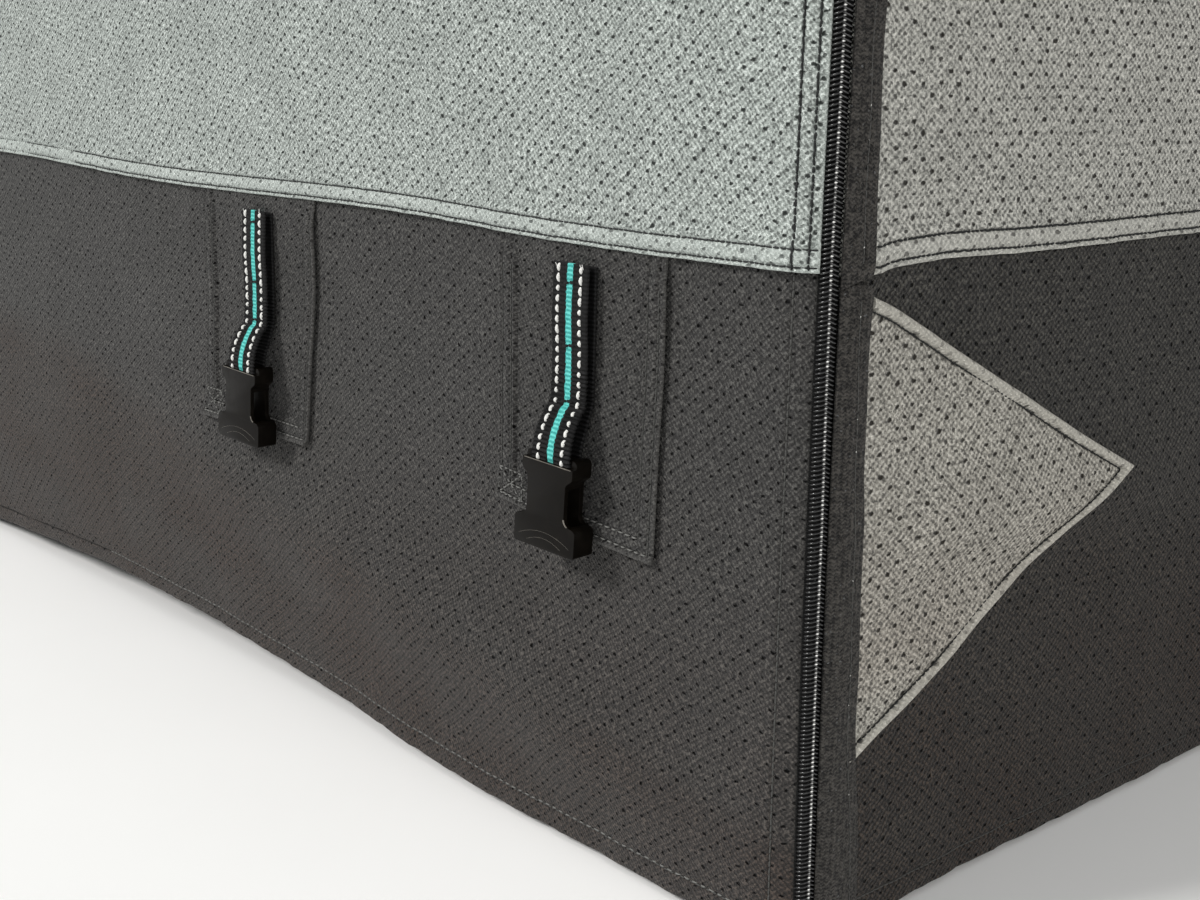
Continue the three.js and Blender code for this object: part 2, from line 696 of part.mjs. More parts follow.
// Socket half of a side-release buckle: a webbing bar between two cheeks, a waist with open sides, a mouth
function buckleSocket() {
  const body = new THREE.ExtrudeGeometry(buckleShape(), {
    depth: BUCKLE_DEPTH,
    bevelEnabled: false,
    curveSegments: 4,
  });
  const middle = BUCKLE_DEPTH / 2;
  const barBack = middle - BAR_DEPTH / 2;
  const barFront = middle + BAR_DEPTH / 2;
  const slotEnd = BAR_HEIGHT + SLOT_HEIGHT;
  const cuts = [
    block(2 * SLOT_HALF, -CUT_PAST, slotEnd, barFront, BUCKLE_DEPTH + CUT_PAST),
    block(2 * SLOT_HALF, -CUT_PAST, slotEnd, -CUT_PAST, barBack),
    block(2 * SLOT_HALF, BAR_HEIGHT, slotEnd, -CUT_PAST, BUCKLE_DEPTH + CUT_PAST),
    block(
      SOCKET_WIDTH,
      SOCKET_TOP,
      BUCKLE_LENGTH + CUT_PAST,
      middle - SOCKET_DEPTH / 2,
      middle + SOCKET_DEPTH / 2,
    ),
  ];
  let solid = solidOf(body);
  for (const cut of cuts) solid = solid.subtract(cut);
  return geometryOf(solid);
}

// Webbing folded round the buckle's bar: front layer, turn through the slot, back layer.
// out: distance from the patch to the middle of the webbing, down: below the strap's top end.
function strapRoute() {
  const barFront = BUCKLE_STAND_OFF + BUCKLE_DEPTH / 2 + BAR_DEPTH / 2;
  const barBack = barFront - BAR_DEPTH;
  const half = WEB_THICKNESS / 2;
  const frontOut = barFront + GAP + half;
  const backOut = barBack - GAP - half;
  const turnZ = BUCKLE_TOP - BAR_HEIGHT - GAP - half;
  const faceOut = STRAP_FACE - half;
  const wallOut = GAP + half;
  return [
    { out: faceOut, z: STRAP_TOP, turned: 0 },
    { out: faceOut, z: (STRAP_TOP + STRAP_BEND) / 2, turned: 0 },
    { out: faceOut, z: STRAP_BEND, turned: 0 },
    { out: faceOut + 1.6, z: STRAP_BEND - 5, turned: 0.1 },
    { out: faceOut + 5.2, z: STRAP_BEND - 10, turned: 0.4 },
    { out: frontOut - 1, z: STRAP_BEND - 16, turned: 0.8 },
    { out: frontOut + 0.4, z: BUCKLE_TOP - 0.4, turned: 1 },
    { out: frontOut, z: turnZ + 1, turned: 1 },
    { out: frontOut - 1, z: turnZ, turned: 1 },
    { out: backOut + 1, z: turnZ, turned: 1 },
    { out: backOut, z: turnZ + 1, turned: 1 },
    { out: backOut, z: BUCKLE_TOP + 0.4, turned: 1 },
    { out: backOut - 2, z: STRAP_BEND - 16, turned: 0.8 },
    { out: wallOut + 3, z: STRAP_BEND - 8, turned: 0.3 },
    { out: wallOut + 0.6, z: STRAP_BEND, turned: 0 },
    { out: wallOut, z: STRAP_BEND + 8, turned: 0 },
    { out: wallOut, z: STRAP_TOP - 1, turned: 0 },
  ];
}

function strapLoop(place) {
  const wallX = COVER_WIDTH / 2 - place.strap;
  const wallY = -COVER_LENGTH / 2 - PATCH_FACE;
  const buckle = buckleFrame(place);
  const route = strapRoute();
  const toWall = route.map(({ out, z }) => new THREE.Vector2(out, z));
  const edges = route.map((step, i) => {
    const before = toWall[Math.max(0, i - 1)];
    const after = toWall[Math.min(toWall.length - 1, i + 1)];
    const heading = after.clone().sub(before).normalize();
    const miter = new THREE.Vector2(heading.y, -heading.x);
    const ends = [-1, 1].map((sideSign) =>
      [-1, 1].map((faceSign) => {
        const reach = faceSign * miterLength(before, toWall[i], after);
        const out = step.out + miter.x * reach;
        const z = step.z + miter.y * reach;
        const flat = new THREE.Vector3(wallX + (sideSign * WEB_WIDTH) / 2, wallY - out, z);
        const across = (-sideSign * WEB_WIDTH) / 2;
        const local = new THREE.Vector3(across, BUCKLE_TOP - z, out - BUCKLE_STAND_OFF);
        return flat.lerp(buckle.localToWorld(local), step.turned);
      }),
    );
    return ends;
  });
  const column = (sideIndex, faceIndex) => edges.map((edge) => edge[sideIndex][faceIndex]);
  return clothBody([column(0, 1), column(1, 1)], [column(0, 0), column(1, 0)]);
}

// Half the webbing's thickness, drawn out where its route turns, at sharp turns only so far
const SHARPEST_MITER = 0.6;

function miterLength(before, here, after) {
  const half = WEB_THICKNESS / 2;
  const a = here.clone().sub(before);
  const b = after.clone().sub(here);
  if (a.length() === 0 || b.length() === 0) return half;
  return half / Math.max(Math.cos(a.angleTo(b) / 2), SHARPEST_MITER);
}

for (const side of Object.values(WALLS)) addWall(side);
addMesh("roof_panel", roofPanel(), LIGHT_CLOTH);
addMesh("side_triangle", sideTriangle(), LIGHT_CLOTH);
addMesh("zip_coil", zipCoil(), TAPE_CLOTH);
addMesh("zip_tape_upper", zipTape(SEAM_HEIGHT - 1, ZIP_TOP, false), TAPE_CLOTH);
addMesh("zip_tape_lower", zipTape(0, SEAM_HEIGHT - 1 - TAPE_FOLD, true), TAPE_CLOTH);

for (const place of STRAP_PLACES) {
  addMesh("strap_patch_" + place.name, strapPatch(place), DARK_CLOTH);
  addMesh("strap_" + place.name, strapLoop(place), WEBBING);
  const buckle = addMesh("buckle_" + place.name, buckleSocket(), BLACK_PLASTIC);
  buckle.applyMatrix4(buckleFrame(place).matrixWorld);
}

export default cover;
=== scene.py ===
"""Looks of a fitted cover for a folding camper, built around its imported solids.

Metres, +Z up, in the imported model's frame: the front faces -Y, the zipped corner is at +X, -Y.
"run" is the distance along the plan outline, anticlockwise from the end of the front wall.
"""

import math

import bpy
import numpy as np
from mathutils import Matrix, Vector


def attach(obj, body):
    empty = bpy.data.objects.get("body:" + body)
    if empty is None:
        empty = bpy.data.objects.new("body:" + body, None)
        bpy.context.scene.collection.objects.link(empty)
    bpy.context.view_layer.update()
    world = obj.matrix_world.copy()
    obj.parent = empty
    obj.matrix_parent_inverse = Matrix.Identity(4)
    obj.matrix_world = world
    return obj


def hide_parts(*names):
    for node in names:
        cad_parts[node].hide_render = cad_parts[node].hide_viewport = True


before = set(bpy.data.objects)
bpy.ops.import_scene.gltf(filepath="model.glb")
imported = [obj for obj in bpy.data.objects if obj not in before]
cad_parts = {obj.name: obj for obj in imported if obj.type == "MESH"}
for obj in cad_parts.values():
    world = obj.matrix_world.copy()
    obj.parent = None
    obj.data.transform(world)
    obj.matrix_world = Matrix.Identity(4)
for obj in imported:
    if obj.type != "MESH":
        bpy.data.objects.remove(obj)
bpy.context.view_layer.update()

MM = 0.001
rng = np.random.default_rng(7)

# Driving sizes, the same as the solids'

WIDTH = 2160 * MM
LENGTH = 3050 * MM
HEIGHT = 1070 * MM
CORNER_RADIUS = 30 * MM
SEAM = 308 * MM
ROOF_HEM = 975 * MM
EDGE_START = 995 * MM
EDGE_RADIUS = 45 * MM
CROWN = HEIGHT - EDGE_START - EDGE_RADIUS
CORNER_GROWTH = 0.9

CLOTH = 2.0 * MM
GAP = 0.3 * MM
HEM_WIDTH = 11 * MM
HEM_RISE = 0.8 * MM
LAP = 13 * MM
WALL_FACE = 0.0
BAND_FACE = WALL_FACE - CLOTH - GAP
ROOF_FACE = WALL_FACE + CLOTH + GAP
PATCH_THICKNESS = 1.4 * MM
PATCH_FACE = BAND_FACE + GAP + PATCH_THICKNESS
TRIANGLE_FACE = BAND_FACE + GAP + CLOTH
TAPE_THICKNESS = 1.0 * MM
TAPE_FACE = WALL_FACE + HEM_RISE + GAP + TAPE_THICKNESS

ZIP_ARC = 26.7 * MM
COIL_WIDTH = 8 * MM
ZIP_TOP = 964 * MM
ZIP_DRIFT = 2.2 * MM
DRIFT_DEPTH = 225 * MM
TAPE_WIDENING = 7 * MM
TAPE_SHORT_OF_FLAT = 3.3 * MM
TAPE_FOLD = 3 * MM

QUARTER = math.pi / 2 * CORNER_RADIUS
ACROSS = WIDTH - 2 * CORNER_RADIUS
ALONG = LENGTH - 2 * CORNER_RADIUS
ROUND = 2 * (ACROSS + ALONG) + 4 * QUARTER
PANEL_END = ZIP_ARC - COIL_WIDTH / 2 - GAP
TAPE_START = ZIP_ARC + COIL_WIDTH / 2 + GAP

# Strap patches: distances from the zipped corner along the front
STRAPS = [
    {"name": "near", "right": 92, "left": 209, "lean": 1.4, "rise": 9, "strap": 149},
    {"name": "far", "right": 375, "left": 501, "lean": 12, "rise": 0, "strap": 431},
]
PATCH_BOTTOM = SEAM - 146 * MM

TRIANGLE_BASE = 30.6 * MM
TRIANGLE_APEX = 250 * MM
TRIANGLE_TOP = SEAM - 9 * MM
TRIANGLE_MIDDLE = SEAM - 117 * MM
TRIANGLE_BOTTOM = SEAM - 226 * MM

# Broad folds, in millimetres: at along the wall, z height, half sizes, out relief, slope of the crest
FOLDS = {
    "front": [
        {"at": 330, "z": 99, "length": 300, "height": 60, "out": 11, "slope": 0.175},
        {"at": 700, "z": 0, "length": 520, "height": 74, "out": -9, "slope": 0},
        {"at": 820, "z": 120, "length": 300, "height": 80, "out": 6, "slope": -0.08},
        {"at": 1480, "z": 90, "length": 340, "height": 84, "out": 8, "slope": 0.1},
        {"at": 1900, "z": 0, "length": 200, "height": 70, "out": -7, "slope": 0},
        {"at": 640, "z": 640, "length": 460, "height": 280, "out": -9, "slope": 0.1},
        {"at": 1420, "z": 600, "length": 480, "height": 300, "out": 9, "slope": -0.1},
    ],
    "right": [
        {"at": 185, "z": 184, "length": 155, "height": 36, "out": 5, "slope": -0.08},
        {"at": 185, "z": 150, "length": 155, "height": 34, "out": -3, "slope": -0.03},
        {"at": 640, "z": 100, "length": 330, "height": 90, "out": 8, "slope": 0.1},
        {"at": 1250, "z": 0, "length": 420, "height": 80, "out": -8, "slope": 0},
        {"at": 1750, "z": 120, "length": 420, "height": 90, "out": 9, "slope": -0.06},
        {"at": 2500, "z": 60, "length": 380, "height": 90, "out": 7, "slope": 0.05},
        {"at": 330, "z": 600, "length": 270, "height": 270, "out": 5, "slope": 0},
        {"at": 760, "z": 620, "length": 520, "height": 290, "out": -9, "slope": 0.1},
        {"at": 1600, "z": 660, "length": 560, "height": 280, "out": 10, "slope": -0.08},
        {"at": 2440, "z": 620, "length": 480, "height": 280, "out": -8, "slope": 0},
    ],
    "rear": [
        {"at": 420, "z": 90, "length": 300, "height": 90, "out": 7, "slope": 0.1},
        {"at": 1050, "z": 0, "length": 420, "height": 80, "out": -8, "slope": 0},
        {"at": 1650, "z": 110, "length": 320, "height": 90, "out": 7, "slope": -0.1},
        {"at": 700, "z": 640, "length": 480, "height": 280, "out": -8, "slope": 0.1},
        {"at": 1480, "z": 620, "length": 460, "height": 280, "out": 9, "slope": -0.1},
    ],
    "left": [
        {"at": 520, "z": 100, "length": 360, "height": 90, "out": 8, "slope": 0.08},
        {"at": 1180, "z": 0, "length": 420, "height": 80, "out": -8, "slope": 0},
        {"at": 1780, "z": 110, "length": 420, "height": 90, "out": 8, "slope": -0.06},
        {"at": 2520, "z": 80, "length": 360, "height": 90, "out": 7, "slope": 0.05},
        {"at": 680, "z": 640, "length": 500, "height": 280, "out": -9, "slope": 0.08},
        {"at": 1520, "z": 640, "length": 560, "height": 280, "out": 9, "slope": 0},
        {"at": 2380, "z": 640, "length": 480, "height": 280, "out": -9, "slope": -0.08},
    ],
}
# Where the bottom hem is drawn up
ARCHES = {
    "front": [{"at": 620, "length": 440, "up": 17}, {"at": 1560, "length": 380, "up": 10}],
    "right": [{"at": 900, "length": 420, "up": 11}, {"at": 2150, "length": 500, "up": 9}],
    "rear": [{"at": 1180, "length": 520, "up": 12}],
    "left": [{"at": 860, "length": 460, "up": 9}, {"at": 2080, "length": 480, "up": 12}],
}
ARCH_REACH = 130 * MM
# Where the seam between the light and the dark cloth hangs lower, and how far up and down that reaches
SAGS = {
    "front": [{"at": 140, "length": 170, "drop": 2.7}, {"at": 540, "length": 240, "drop": 3.7}],
    "right": [{"at": 30, "length": 18, "drop": 1.8}, {"at": 85, "length": 60, "drop": -1.4}],
    "rear": [{"at": 700, "length": 420, "drop": 3.0}],
    "left": [{"at": 1500, "length": 600, "drop": 3.0}],
}
SAG_REACH = 60 * MM
ROOF_FOLDS = [
    {"x": -300, "y": -900, "half_x": 760, "half_y": 420, "out": -6},
    {"x": 300, "y": -450, "half_x": 800, "half_y": 420, "out": 6},
    {"x": -250, "y": 700, "half_x": 760, "half_y": 460, "out": -6},
]
SIDES = {
    "right": {"start": QUARTER, "length": ALONG},
    "rear": {"start": 2 * QUARTER + ALONG, "length": ACROSS},
    "left": {"start": 3 * QUARTER + ALONG + ACROSS, "length": ALONG},
    "front": {"start": -ACROSS, "length": ACROSS},
}

# Topstitch rows, from the edge that they hold
HEM_ROWS = (2.2 * MM, 9.6 * MM)
SIDE_HEM_ROWS = (2.9 * MM, 11.4 * MM)
BOTTOM_ROW = 12.0 * MM
STITCH_PITCH = 3.4 * MM
STITCH_LENGTH = 1.1
THREAD = 0.46 * MM
THREAD_PROUD = 0.18 * MM


# Camera and light

CORNER_AT_SEAM = Vector((WIDTH / 2, -LENGTH / 2, SEAM))
CAMERA_FROM_CORNER = Vector((445.06, -531.25, 92.93)) * MM
CAMERA_RIGHT = Vector((0.67297619, 0.73935543, 0.02136809))
CAMERA_UP = Vector((-0.18927455, 0.14421067, 0.9712767))


def make_camera():
    data = bpy.data.cameras.new("camera")
    data.sensor_width = 36
    data.lens = 51
    data.clip_start = 0.02
    camera = bpy.data.objects.new("camera", data)
    back = CAMERA_RIGHT.cross(CAMERA_UP)
    turn = Matrix((CAMERA_RIGHT, CAMERA_UP, back)).transposed().to_4x4()
    camera.matrix_world = Matrix.Translation(CORNER_AT_SEAM + CAMERA_FROM_CORNER) @ turn
    bpy.context.scene.collection.objects.link(camera)
    bpy.context.scene.camera = camera


SUNS = [
    {
        "name": "key",
        "source": (-0.42, -0.78, 0.62),
        "strength": 2.7,
        "spread": 14,
        "colour": (1.0, 0.985, 0.965),
    },
    {
        "name": "fill",
        "source": (0.95, -0.25, 0.45),
        "strength": 1.5,
        "spread": 50,
        "colour": (1.0, 0.98, 0.95),
    },
]
SKY_STRENGTH = 0.40


def make_light():
    for sun in SUNS:
        data = bpy.data.lights.new(sun["name"], "SUN")
        data.energy = sun["strength"]
        data.angle = math.radians(sun["spread"])
        data.color = sun["colour"]
        light = bpy.data.objects.new(sun["name"], data)
        light.rotation_euler = Vector(sun["source"]).to_track_quat("Z", "Y").to_euler()
        bpy.context.scene.collection.objects.link(light)
    world = bpy.data.worlds.new("studio")
    world.use_nodes = True
    background = world.node_tree.nodes["Background"]
    background.inputs["Color"].default_value = (0.97, 0.985, 1.0, 1)
    background.inputs["Strength"].default_value = SKY_STRENGTH
    bpy.context.scene.world = world
    bpy.context.scene.view_settings.view_transform = "Standard"


# Materials


class Nodes:
    """Short ways to make and join shader nodes of one material."""

    def __init__(self, name):
        self.material = bpy.data.materials.new(name)
        self.material.use_nodes = True
        self.tree = self.material.node_tree
        self.shader = self.tree.nodes["Principled BSDF"]

    def link(self, value, socket):
        if isinstance(value, bpy.types.NodeSocket):
            self.tree.links.new(value, socket)
        else:
            socket.default_value = value

    def math(self, operation, a, b=0.0, clamp=False):
        node = self.tree.nodes.new("ShaderNodeMath")
        node.operation = operation
        node.use_clamp = clamp
        self.link(a, node.inputs[0])
        self.link(b, node.inputs[1])
        return node.outputs[0]

    def vector(self, operation, a, b=(0, 0, 0), output=0):
        node = self.tree.nodes.new("ShaderNodeVectorMath")
        node.operation = operation
        self.link(a, node.inputs[0])
        self.link(b, node.inputs[1])
        return node.outputs[output]

    def dot(self, a, b):
        return self.vector("DOT_PRODUCT", a, b, output="Value")

    def scaled(self, a, factor):
        node = self.tree.nodes.new("ShaderNodeVectorMath")
        node.operation = "SCALE"
        self.link(a, node.inputs[0])
        self.link(factor, node.inputs["Scale"])
        return node.outputs[0]

    def pack(self, x, y, z=0.0):
        node = self.tree.nodes.new("ShaderNodeCombineXYZ")
        for value, socket in zip((x, y, z), node.inputs):
            self.link(value, socket)
        return node.outputs[0]

    def split(self, a):
        node = self.tree.nodes.new("ShaderNodeSeparateXYZ")
        self.link(a, node.inputs[0])
        return node.outputs

    def lay(self):
        """Where a point lies on the flat cloth, in metres, and how far a fold smooths it there and lightens it
        with a painted highlight.
        """
        node = self.tree.nodes.new("ShaderNodeAttribute")
        node.attribute_name = "lay"
        return node.outputs["Vector"]

    def noise(self, vector, scale, detail=2.0, roughness=0.5, output="Fac"):
        node = self.tree.nodes.new("ShaderNodeTexNoise")
        self.link(vector, node.inputs["Vector"])
        node.inputs["Scale"].default_value = scale
        node.inputs["Detail"].default_value = detail
        node.inputs["Roughness"].default_value = roughness
        return node.outputs[output]

    def white(self, vector):
        node = self.tree.nodes.new("ShaderNodeTexWhiteNoise")
        self.link(vector, node.inputs["Vector"])
        return node.outputs["Value"]

    def ramp(self, value, low, high, to_low=0.0, to_high=1.0, smooth=True):
        node = self.tree.nodes.new("ShaderNodeMapRange")
        node.interpolation_type = "SMOOTHSTEP" if smooth else "LINEAR"
        self.link(value, node.inputs["Value"])
        node.inputs["From Min"].default_value = low
        node.inputs["From Max"].default_value = high
        self.link(to_low, node.inputs["To Min"])
        self.link(to_high, node.inputs["To Max"])
        return node.outputs["Result"]

    def mix(self, share, a, b):
        node = self.tree.nodes.new("ShaderNodeMix")
        node.data_type = "RGBA"
        self.link(share, node.inputs["Factor"])
        for value, socket in ((a, node.inputs[6]), (b, node.inputs[7])):
            self.link((*value, 1) if isinstance(value, tuple) else value, socket)
        return node.outputs[2]

    def bump(self, height, distance, strength=1.0):
        node = self.tree.nodes.new("ShaderNodeBump")
        node.inputs["Strength"].default_value = strength
        node.inputs["Distance"].default_value = distance
        self.link(height, node.inputs["Height"])
        self.link(node.outputs["Normal"], self.shader.inputs["Normal"])

    def set(self, **sockets):
        for name, value in sockets.items():
            socket = self.shader.inputs[name.replace("_", " ").title().replace("Ior", "IOR")]
            self.link((*value, 1) if isinstance(value, tuple) else value, socket)


# Dimple lattice of the needled cloth: two steps from one dimple to the next, in millimetres.
# Fine pits sit at every third of each step.
FRONT_LATTICE = ((4.3, 3.5), (4.3, -5.2))
SIDE_LATTICE = ((5.6, 5.0), (6.4, -5.2))
PATCH_LATTICE = ((5.2, 3.4), (3.4, -4.6))
PITS_PER_STEP = 3


def reciprocal(lattice):
    """Vectors whose dot products with a place in metres count the lattice steps to it."""
    (ax, ay), (bx, by) = lattice
    area = ax * by - ay * bx
    return (
        (by / area / MM, -bx / area / MM, 0),
        (-ay / area / MM, ax / area / MM, 0),
    )


# Each piece lies in its own stretch of the cloth's pattern
PIECE_STEP = 0.41
# Half width and half height of a dimple in the cloth
DIMPLE = (1.15 * MM, 0.72 * MM)
WIDE_DIMPLE = (1.6 * MM, 0.9 * MM)
# Warm brown tint of the painted shade low on the walls
PAINTED_SHADE_TINT = (0.76, 0.54, 0.44)


def needled_cloth(
    name, colour, hole_shade, ridge, lattice, painted_shade=0.0, gloss=0.3, grit=1.0, dimple=DIMPLE, slant=0.0, painted_shade_foot=0.0
):
    """Matt nonwoven cloth: dark dimples on a slanted lattice, tangled fibres and pits between them; the dimples
    and pits are painted dark as shade in their hollows, and the knobs between the pits painted light as a
    highlight.
    """
    n = Nodes(name)
    along, up, calm_and_sheen = n.split(n.lay())
    lay = n.pack(along, up)
    rough = n.math("SUBTRACT", 1.0, n.math("MULTIPLY", calm_and_sheen, 0.85))
    drift = n.vector("SUBTRACT", n.noise(lay, 55, 1.0, output="Color"), (0.5, 0.5, 0.5))
    fray = n.vector("SUBTRACT", n.noise(lay, 620, 2.0, output="Color"), (0.5, 0.5, 0.5))
    place = n.vector("ADD", lay, n.scaled(drift, 4.0 * MM))
    place = n.vector("ADD", place, n.scaled(fray, 2.0 * MM))
    first, second = reciprocal(lattice)
    steps = n.pack(n.dot(place, first), n.dot(place, second))

    def nearest(divisions):
        """Steps from the nearest place of the lattice, and a chance for each such place."""
        counts = n.scaled(steps, divisions)
        whole = n.vector("FLOOR", n.vector("ADD", counts, (0.5, 0.5, 0)))
        return n.split(n.vector("SUBTRACT", counts, whole)), n.white(whole)

    (a, b, _), chance = nearest(1)
    (ax, ay), (bx, by), (half_x, half_z) = *lattice, dimple
    across = n.math("ADD", n.math("MULTIPLY", a, ax * MM / half_x), n.math("MULTIPLY", b, bx * MM / half_x))
    upward = n.math("ADD", n.math("MULTIPLY", a, ay * MM / half_z), n.math("MULTIPLY", b, by * MM / half_z))
    away = n.math("SQRT", n.math("ADD", n.math("POWER", across, 2.0), n.math("POWER", upward, 2.0)))
    away = n.math("DIVIDE", away, n.ramp(chance, 0, 1, 1.15, 0.75))
    well = n.math("MULTIPLY", n.ramp(away, 0.55, 1.25, 1.0, 0.0), n.ramp(chance, 0.4, 1.0, 1.0, 0.6))
    well = n.math("MULTIPLY", well, rough)
    (a, b, _), luck = nearest(PITS_PER_STEP)
    waves = [n.math("COSINE", n.math("MULTIPLY", k, 2 * math.pi)) for k in (a, b)]
    fine = n.math("ADD", *waves)
    pit = n.math("MULTIPLY", n.ramp(fine, 0.1, 1.7), n.ramp(luck, 0, 1, 0.25, 1.0))
    pit = n.math("MULTIPLY", pit, rough)
    knob = n.math("MULTIPLY", n.ramp(fine, 0.2, -1.5), n.ramp(luck, 0, 1, 1.0, 0.3))
    fibre = n.noise(lay, 1300, 3.0, 0.65)
    tangle = n.noise(lay, 430, 3.0, 0.66)
    blotch = n.noise(lay, 24, 2.0, 0.5)

    # Painted light in the weave: knobs mixed towards the ridge colour are a painted highlight, and pits and
    # dimple wells mixed towards dark colours are painted shade.
    pit_colour = tuple(0.26 * c for c in colour)
    shade = n.mix(n.math("MULTIPLY", knob, min(1.0, 0.75 * grit)), colour, ridge)
    tufts = n.math("MULTIPLY", n.ramp(tangle, 0.52, 0.66), n.math("MULTIPLY", rough, min(1.0, 0.85 * grit)))
    shade = n.mix(tufts, shade, ridge)
    gaps = n.math("MULTIPLY", n.ramp(tangle, 0.50, 0.34), n.math("MULTIPLY", rough, min(1.0, 0.68 * grit)))
    shade = n.mix(gaps, shade, pit_colour)
    shade = n.mix(n.ramp(fibre, 0.34, 0.58, 0.42, 0.0), shade, pit_colour)
    shade = n.mix(n.math("MULTIPLY", pit, min(1.0, 0.72 * grit)), shade, pit_colour)
    shade = n.mix(n.ramp(blotch, 0.3, 0.7, 0.0, 0.14), shade, pit_colour)
    # Painted shade, tinted warm brown: darker towards the bottom of the wall and, with a slant, along a line
    # that slants like the front's lowest fold; a foot height keeps it off the lowest part.
    if painted_shade:
        patchy = n.noise(lay, 9, 2.0, 0.55)
        lean = n.math("MULTIPLY", n.math("MAXIMUM", n.math("SUBTRACT", along, 3 * PIECE_STEP), -0.7), slant)
        level = n.math("ADD", up, lean)
        warm = n.ramp(up, 0.24, 0.05, 0.0, 0.5 if slant else 1.0)
        if slant:
            warm = n.math("MAXIMUM", warm, n.ramp(level, 0.08, 0.035))
        warm = n.math("MULTIPLY", warm, n.ramp(patchy, 0.35, 0.65, 0.6, 1.0))
        if painted_shade_foot:
            warm = n.math("MULTIPLY", warm, n.ramp(up, painted_shade_foot - 0.025, painted_shade_foot + 0.02))
        shade = n.vector("MULTIPLY", shade, n.mix(n.math("MULTIPLY", warm, painted_shade), (1, 1, 1), PAINTED_SHADE_TINT))
    # Painted highlight: folded edges and hems mixed towards the ridge colour.
    shade = n.mix(n.math("MULTIPLY", calm_and_sheen, 0.35), shade, ridge)
    # Painted shade: the dimple wells darkened to the hole colour.
    shade = n.mix(n.math("MULTIPLY", well, 0.96), shade, hole_shade)

    relief = n.math("SUBTRACT", n.math("MULTIPLY", knob, 0.4), n.math("MULTIPLY", pit, 0.4))
    relief = n.math("SUBTRACT", relief, n.math("MULTIPLY", well, 1.5))
    relief = n.math("ADD", relief, n.math("MULTIPLY", fibre, 0.5))
    relief = n.math("ADD", relief, n.math("MULTIPLY", tangle, 1.3))
    n.bump(relief, 0.9 * MM * grit, 1.0)
    n.set(
        base_color=shade,
        roughness=n.ramp(fibre, 0.2, 0.8, 0.74, 0.6),
        sheen_weight=0.06,
        sheen_roughness=0.5,
        specular_ior_level=n.math("MULTIPLY", n.math("SUBTRACT", 1.0, well), gloss),
    )
    return n.material


def linear(red, green, blue):
    """A colour given as the eye sees it, 0 to 255, as linear light."""
    return tuple(((v / 255 + 0.055) / 1.055) ** 2.4 if v > 10 else v / 255 / 12.92 for v in (red, green, blue))


LIGHT = {"colour": linear(160, 168, 163), "hole_shade": linear(40, 44, 42), "ridge": linear(226, 234, 229)}
LIGHT_SIDE = {"colour": linear(170, 170, 163), "hole_shade": linear(40, 38, 34), "ridge": linear(226, 225, 217)}
DARK = {"colour": linear(45, 44, 43), "hole_shade": linear(3, 3, 3), "ridge": linear(94, 93, 90)}
LIGHT_TRIANGLE = {"colour": linear(158, 155, 146), "hole_shade": linear(36, 33, 28), "ridge": linear(222, 219, 209)}
# The side walls' dark cloth, given darker colours than the front's: painted shade beside the corner, beyond what
# the lights make.
DARK_SIDE_SHADED = {"colour": linear(31, 29, 27), "hole_shade": linear(2, 2, 2), "ridge": linear(88, 86, 80)}


def thread_material(name, colour, roughness=0.6):
    n = Nodes(name)
    lay = n.lay()
    strands = n.noise(lay, 3000, 2.0)
    n.set(base_color=n.mix(n.ramp(strands, 0.3, 0.7), tuple(0.6 * c for c in colour), colour))
    n.set(roughness=roughness, specular_ior_level=0.3)
    n.bump(strands, 0.1 * MM, 0.5)
    return n.material


def tape_material(name, low, high):
    """Woven zip tape: faint ribs up the tape, fuzz and flecks between them."""
    n = Nodes(name)
    along, up, _ = n.split(n.lay())
    flat = n.pack(along, up)
    fray = n.noise(flat, 620, 4.0, 0.7)
    cloud = n.noise(flat, 240, 2.0, 0.6)
    rib = n.math("SINE", n.math("MULTIPLY", along, 2 * math.pi / (2.6 * MM)))
    slant = n.math("ADD", n.math("MULTIPLY", up, 2 * math.pi / (1.7 * MM)), n.math("MULTIPLY", rib, 1.6))
    pick = n.math("SINE", n.math("ADD", slant, n.math("MULTIPLY", fray, 3.0)))
    weave = n.math("ADD", n.math("MULTIPLY", rib, 0.1), n.math("MULTIPLY", pick, 0.2))
    weave = n.math("ADD", weave, n.math("MULTIPLY", n.math("SUBTRACT", fray, 0.5), 4.0))
    weave = n.math("ADD", weave, n.math("MULTIPLY", n.math("SUBTRACT", cloud, 0.5), 1.8))
    fleck = n.ramp(n.noise(flat, 520, 1.0), 0.68, 0.76)
    shade = n.mix(n.ramp(weave, -0.7, 0.9), low, high)
    n.set(
        base_color=n.mix(n.math("MULTIPLY", fleck, 0.5), shade, linear(120, 122, 124)),
        roughness=0.8,
        sheen_weight=0.05,
        specular_ior_level=0.25,
    )
    n.bump(weave, 0.6 * MM, 1.0)
    return n.material


TEAL_HALF = 2.0 * MM
RIB_PITCH = 1.25 * MM
PICK_PITCH = 2.1 * MM


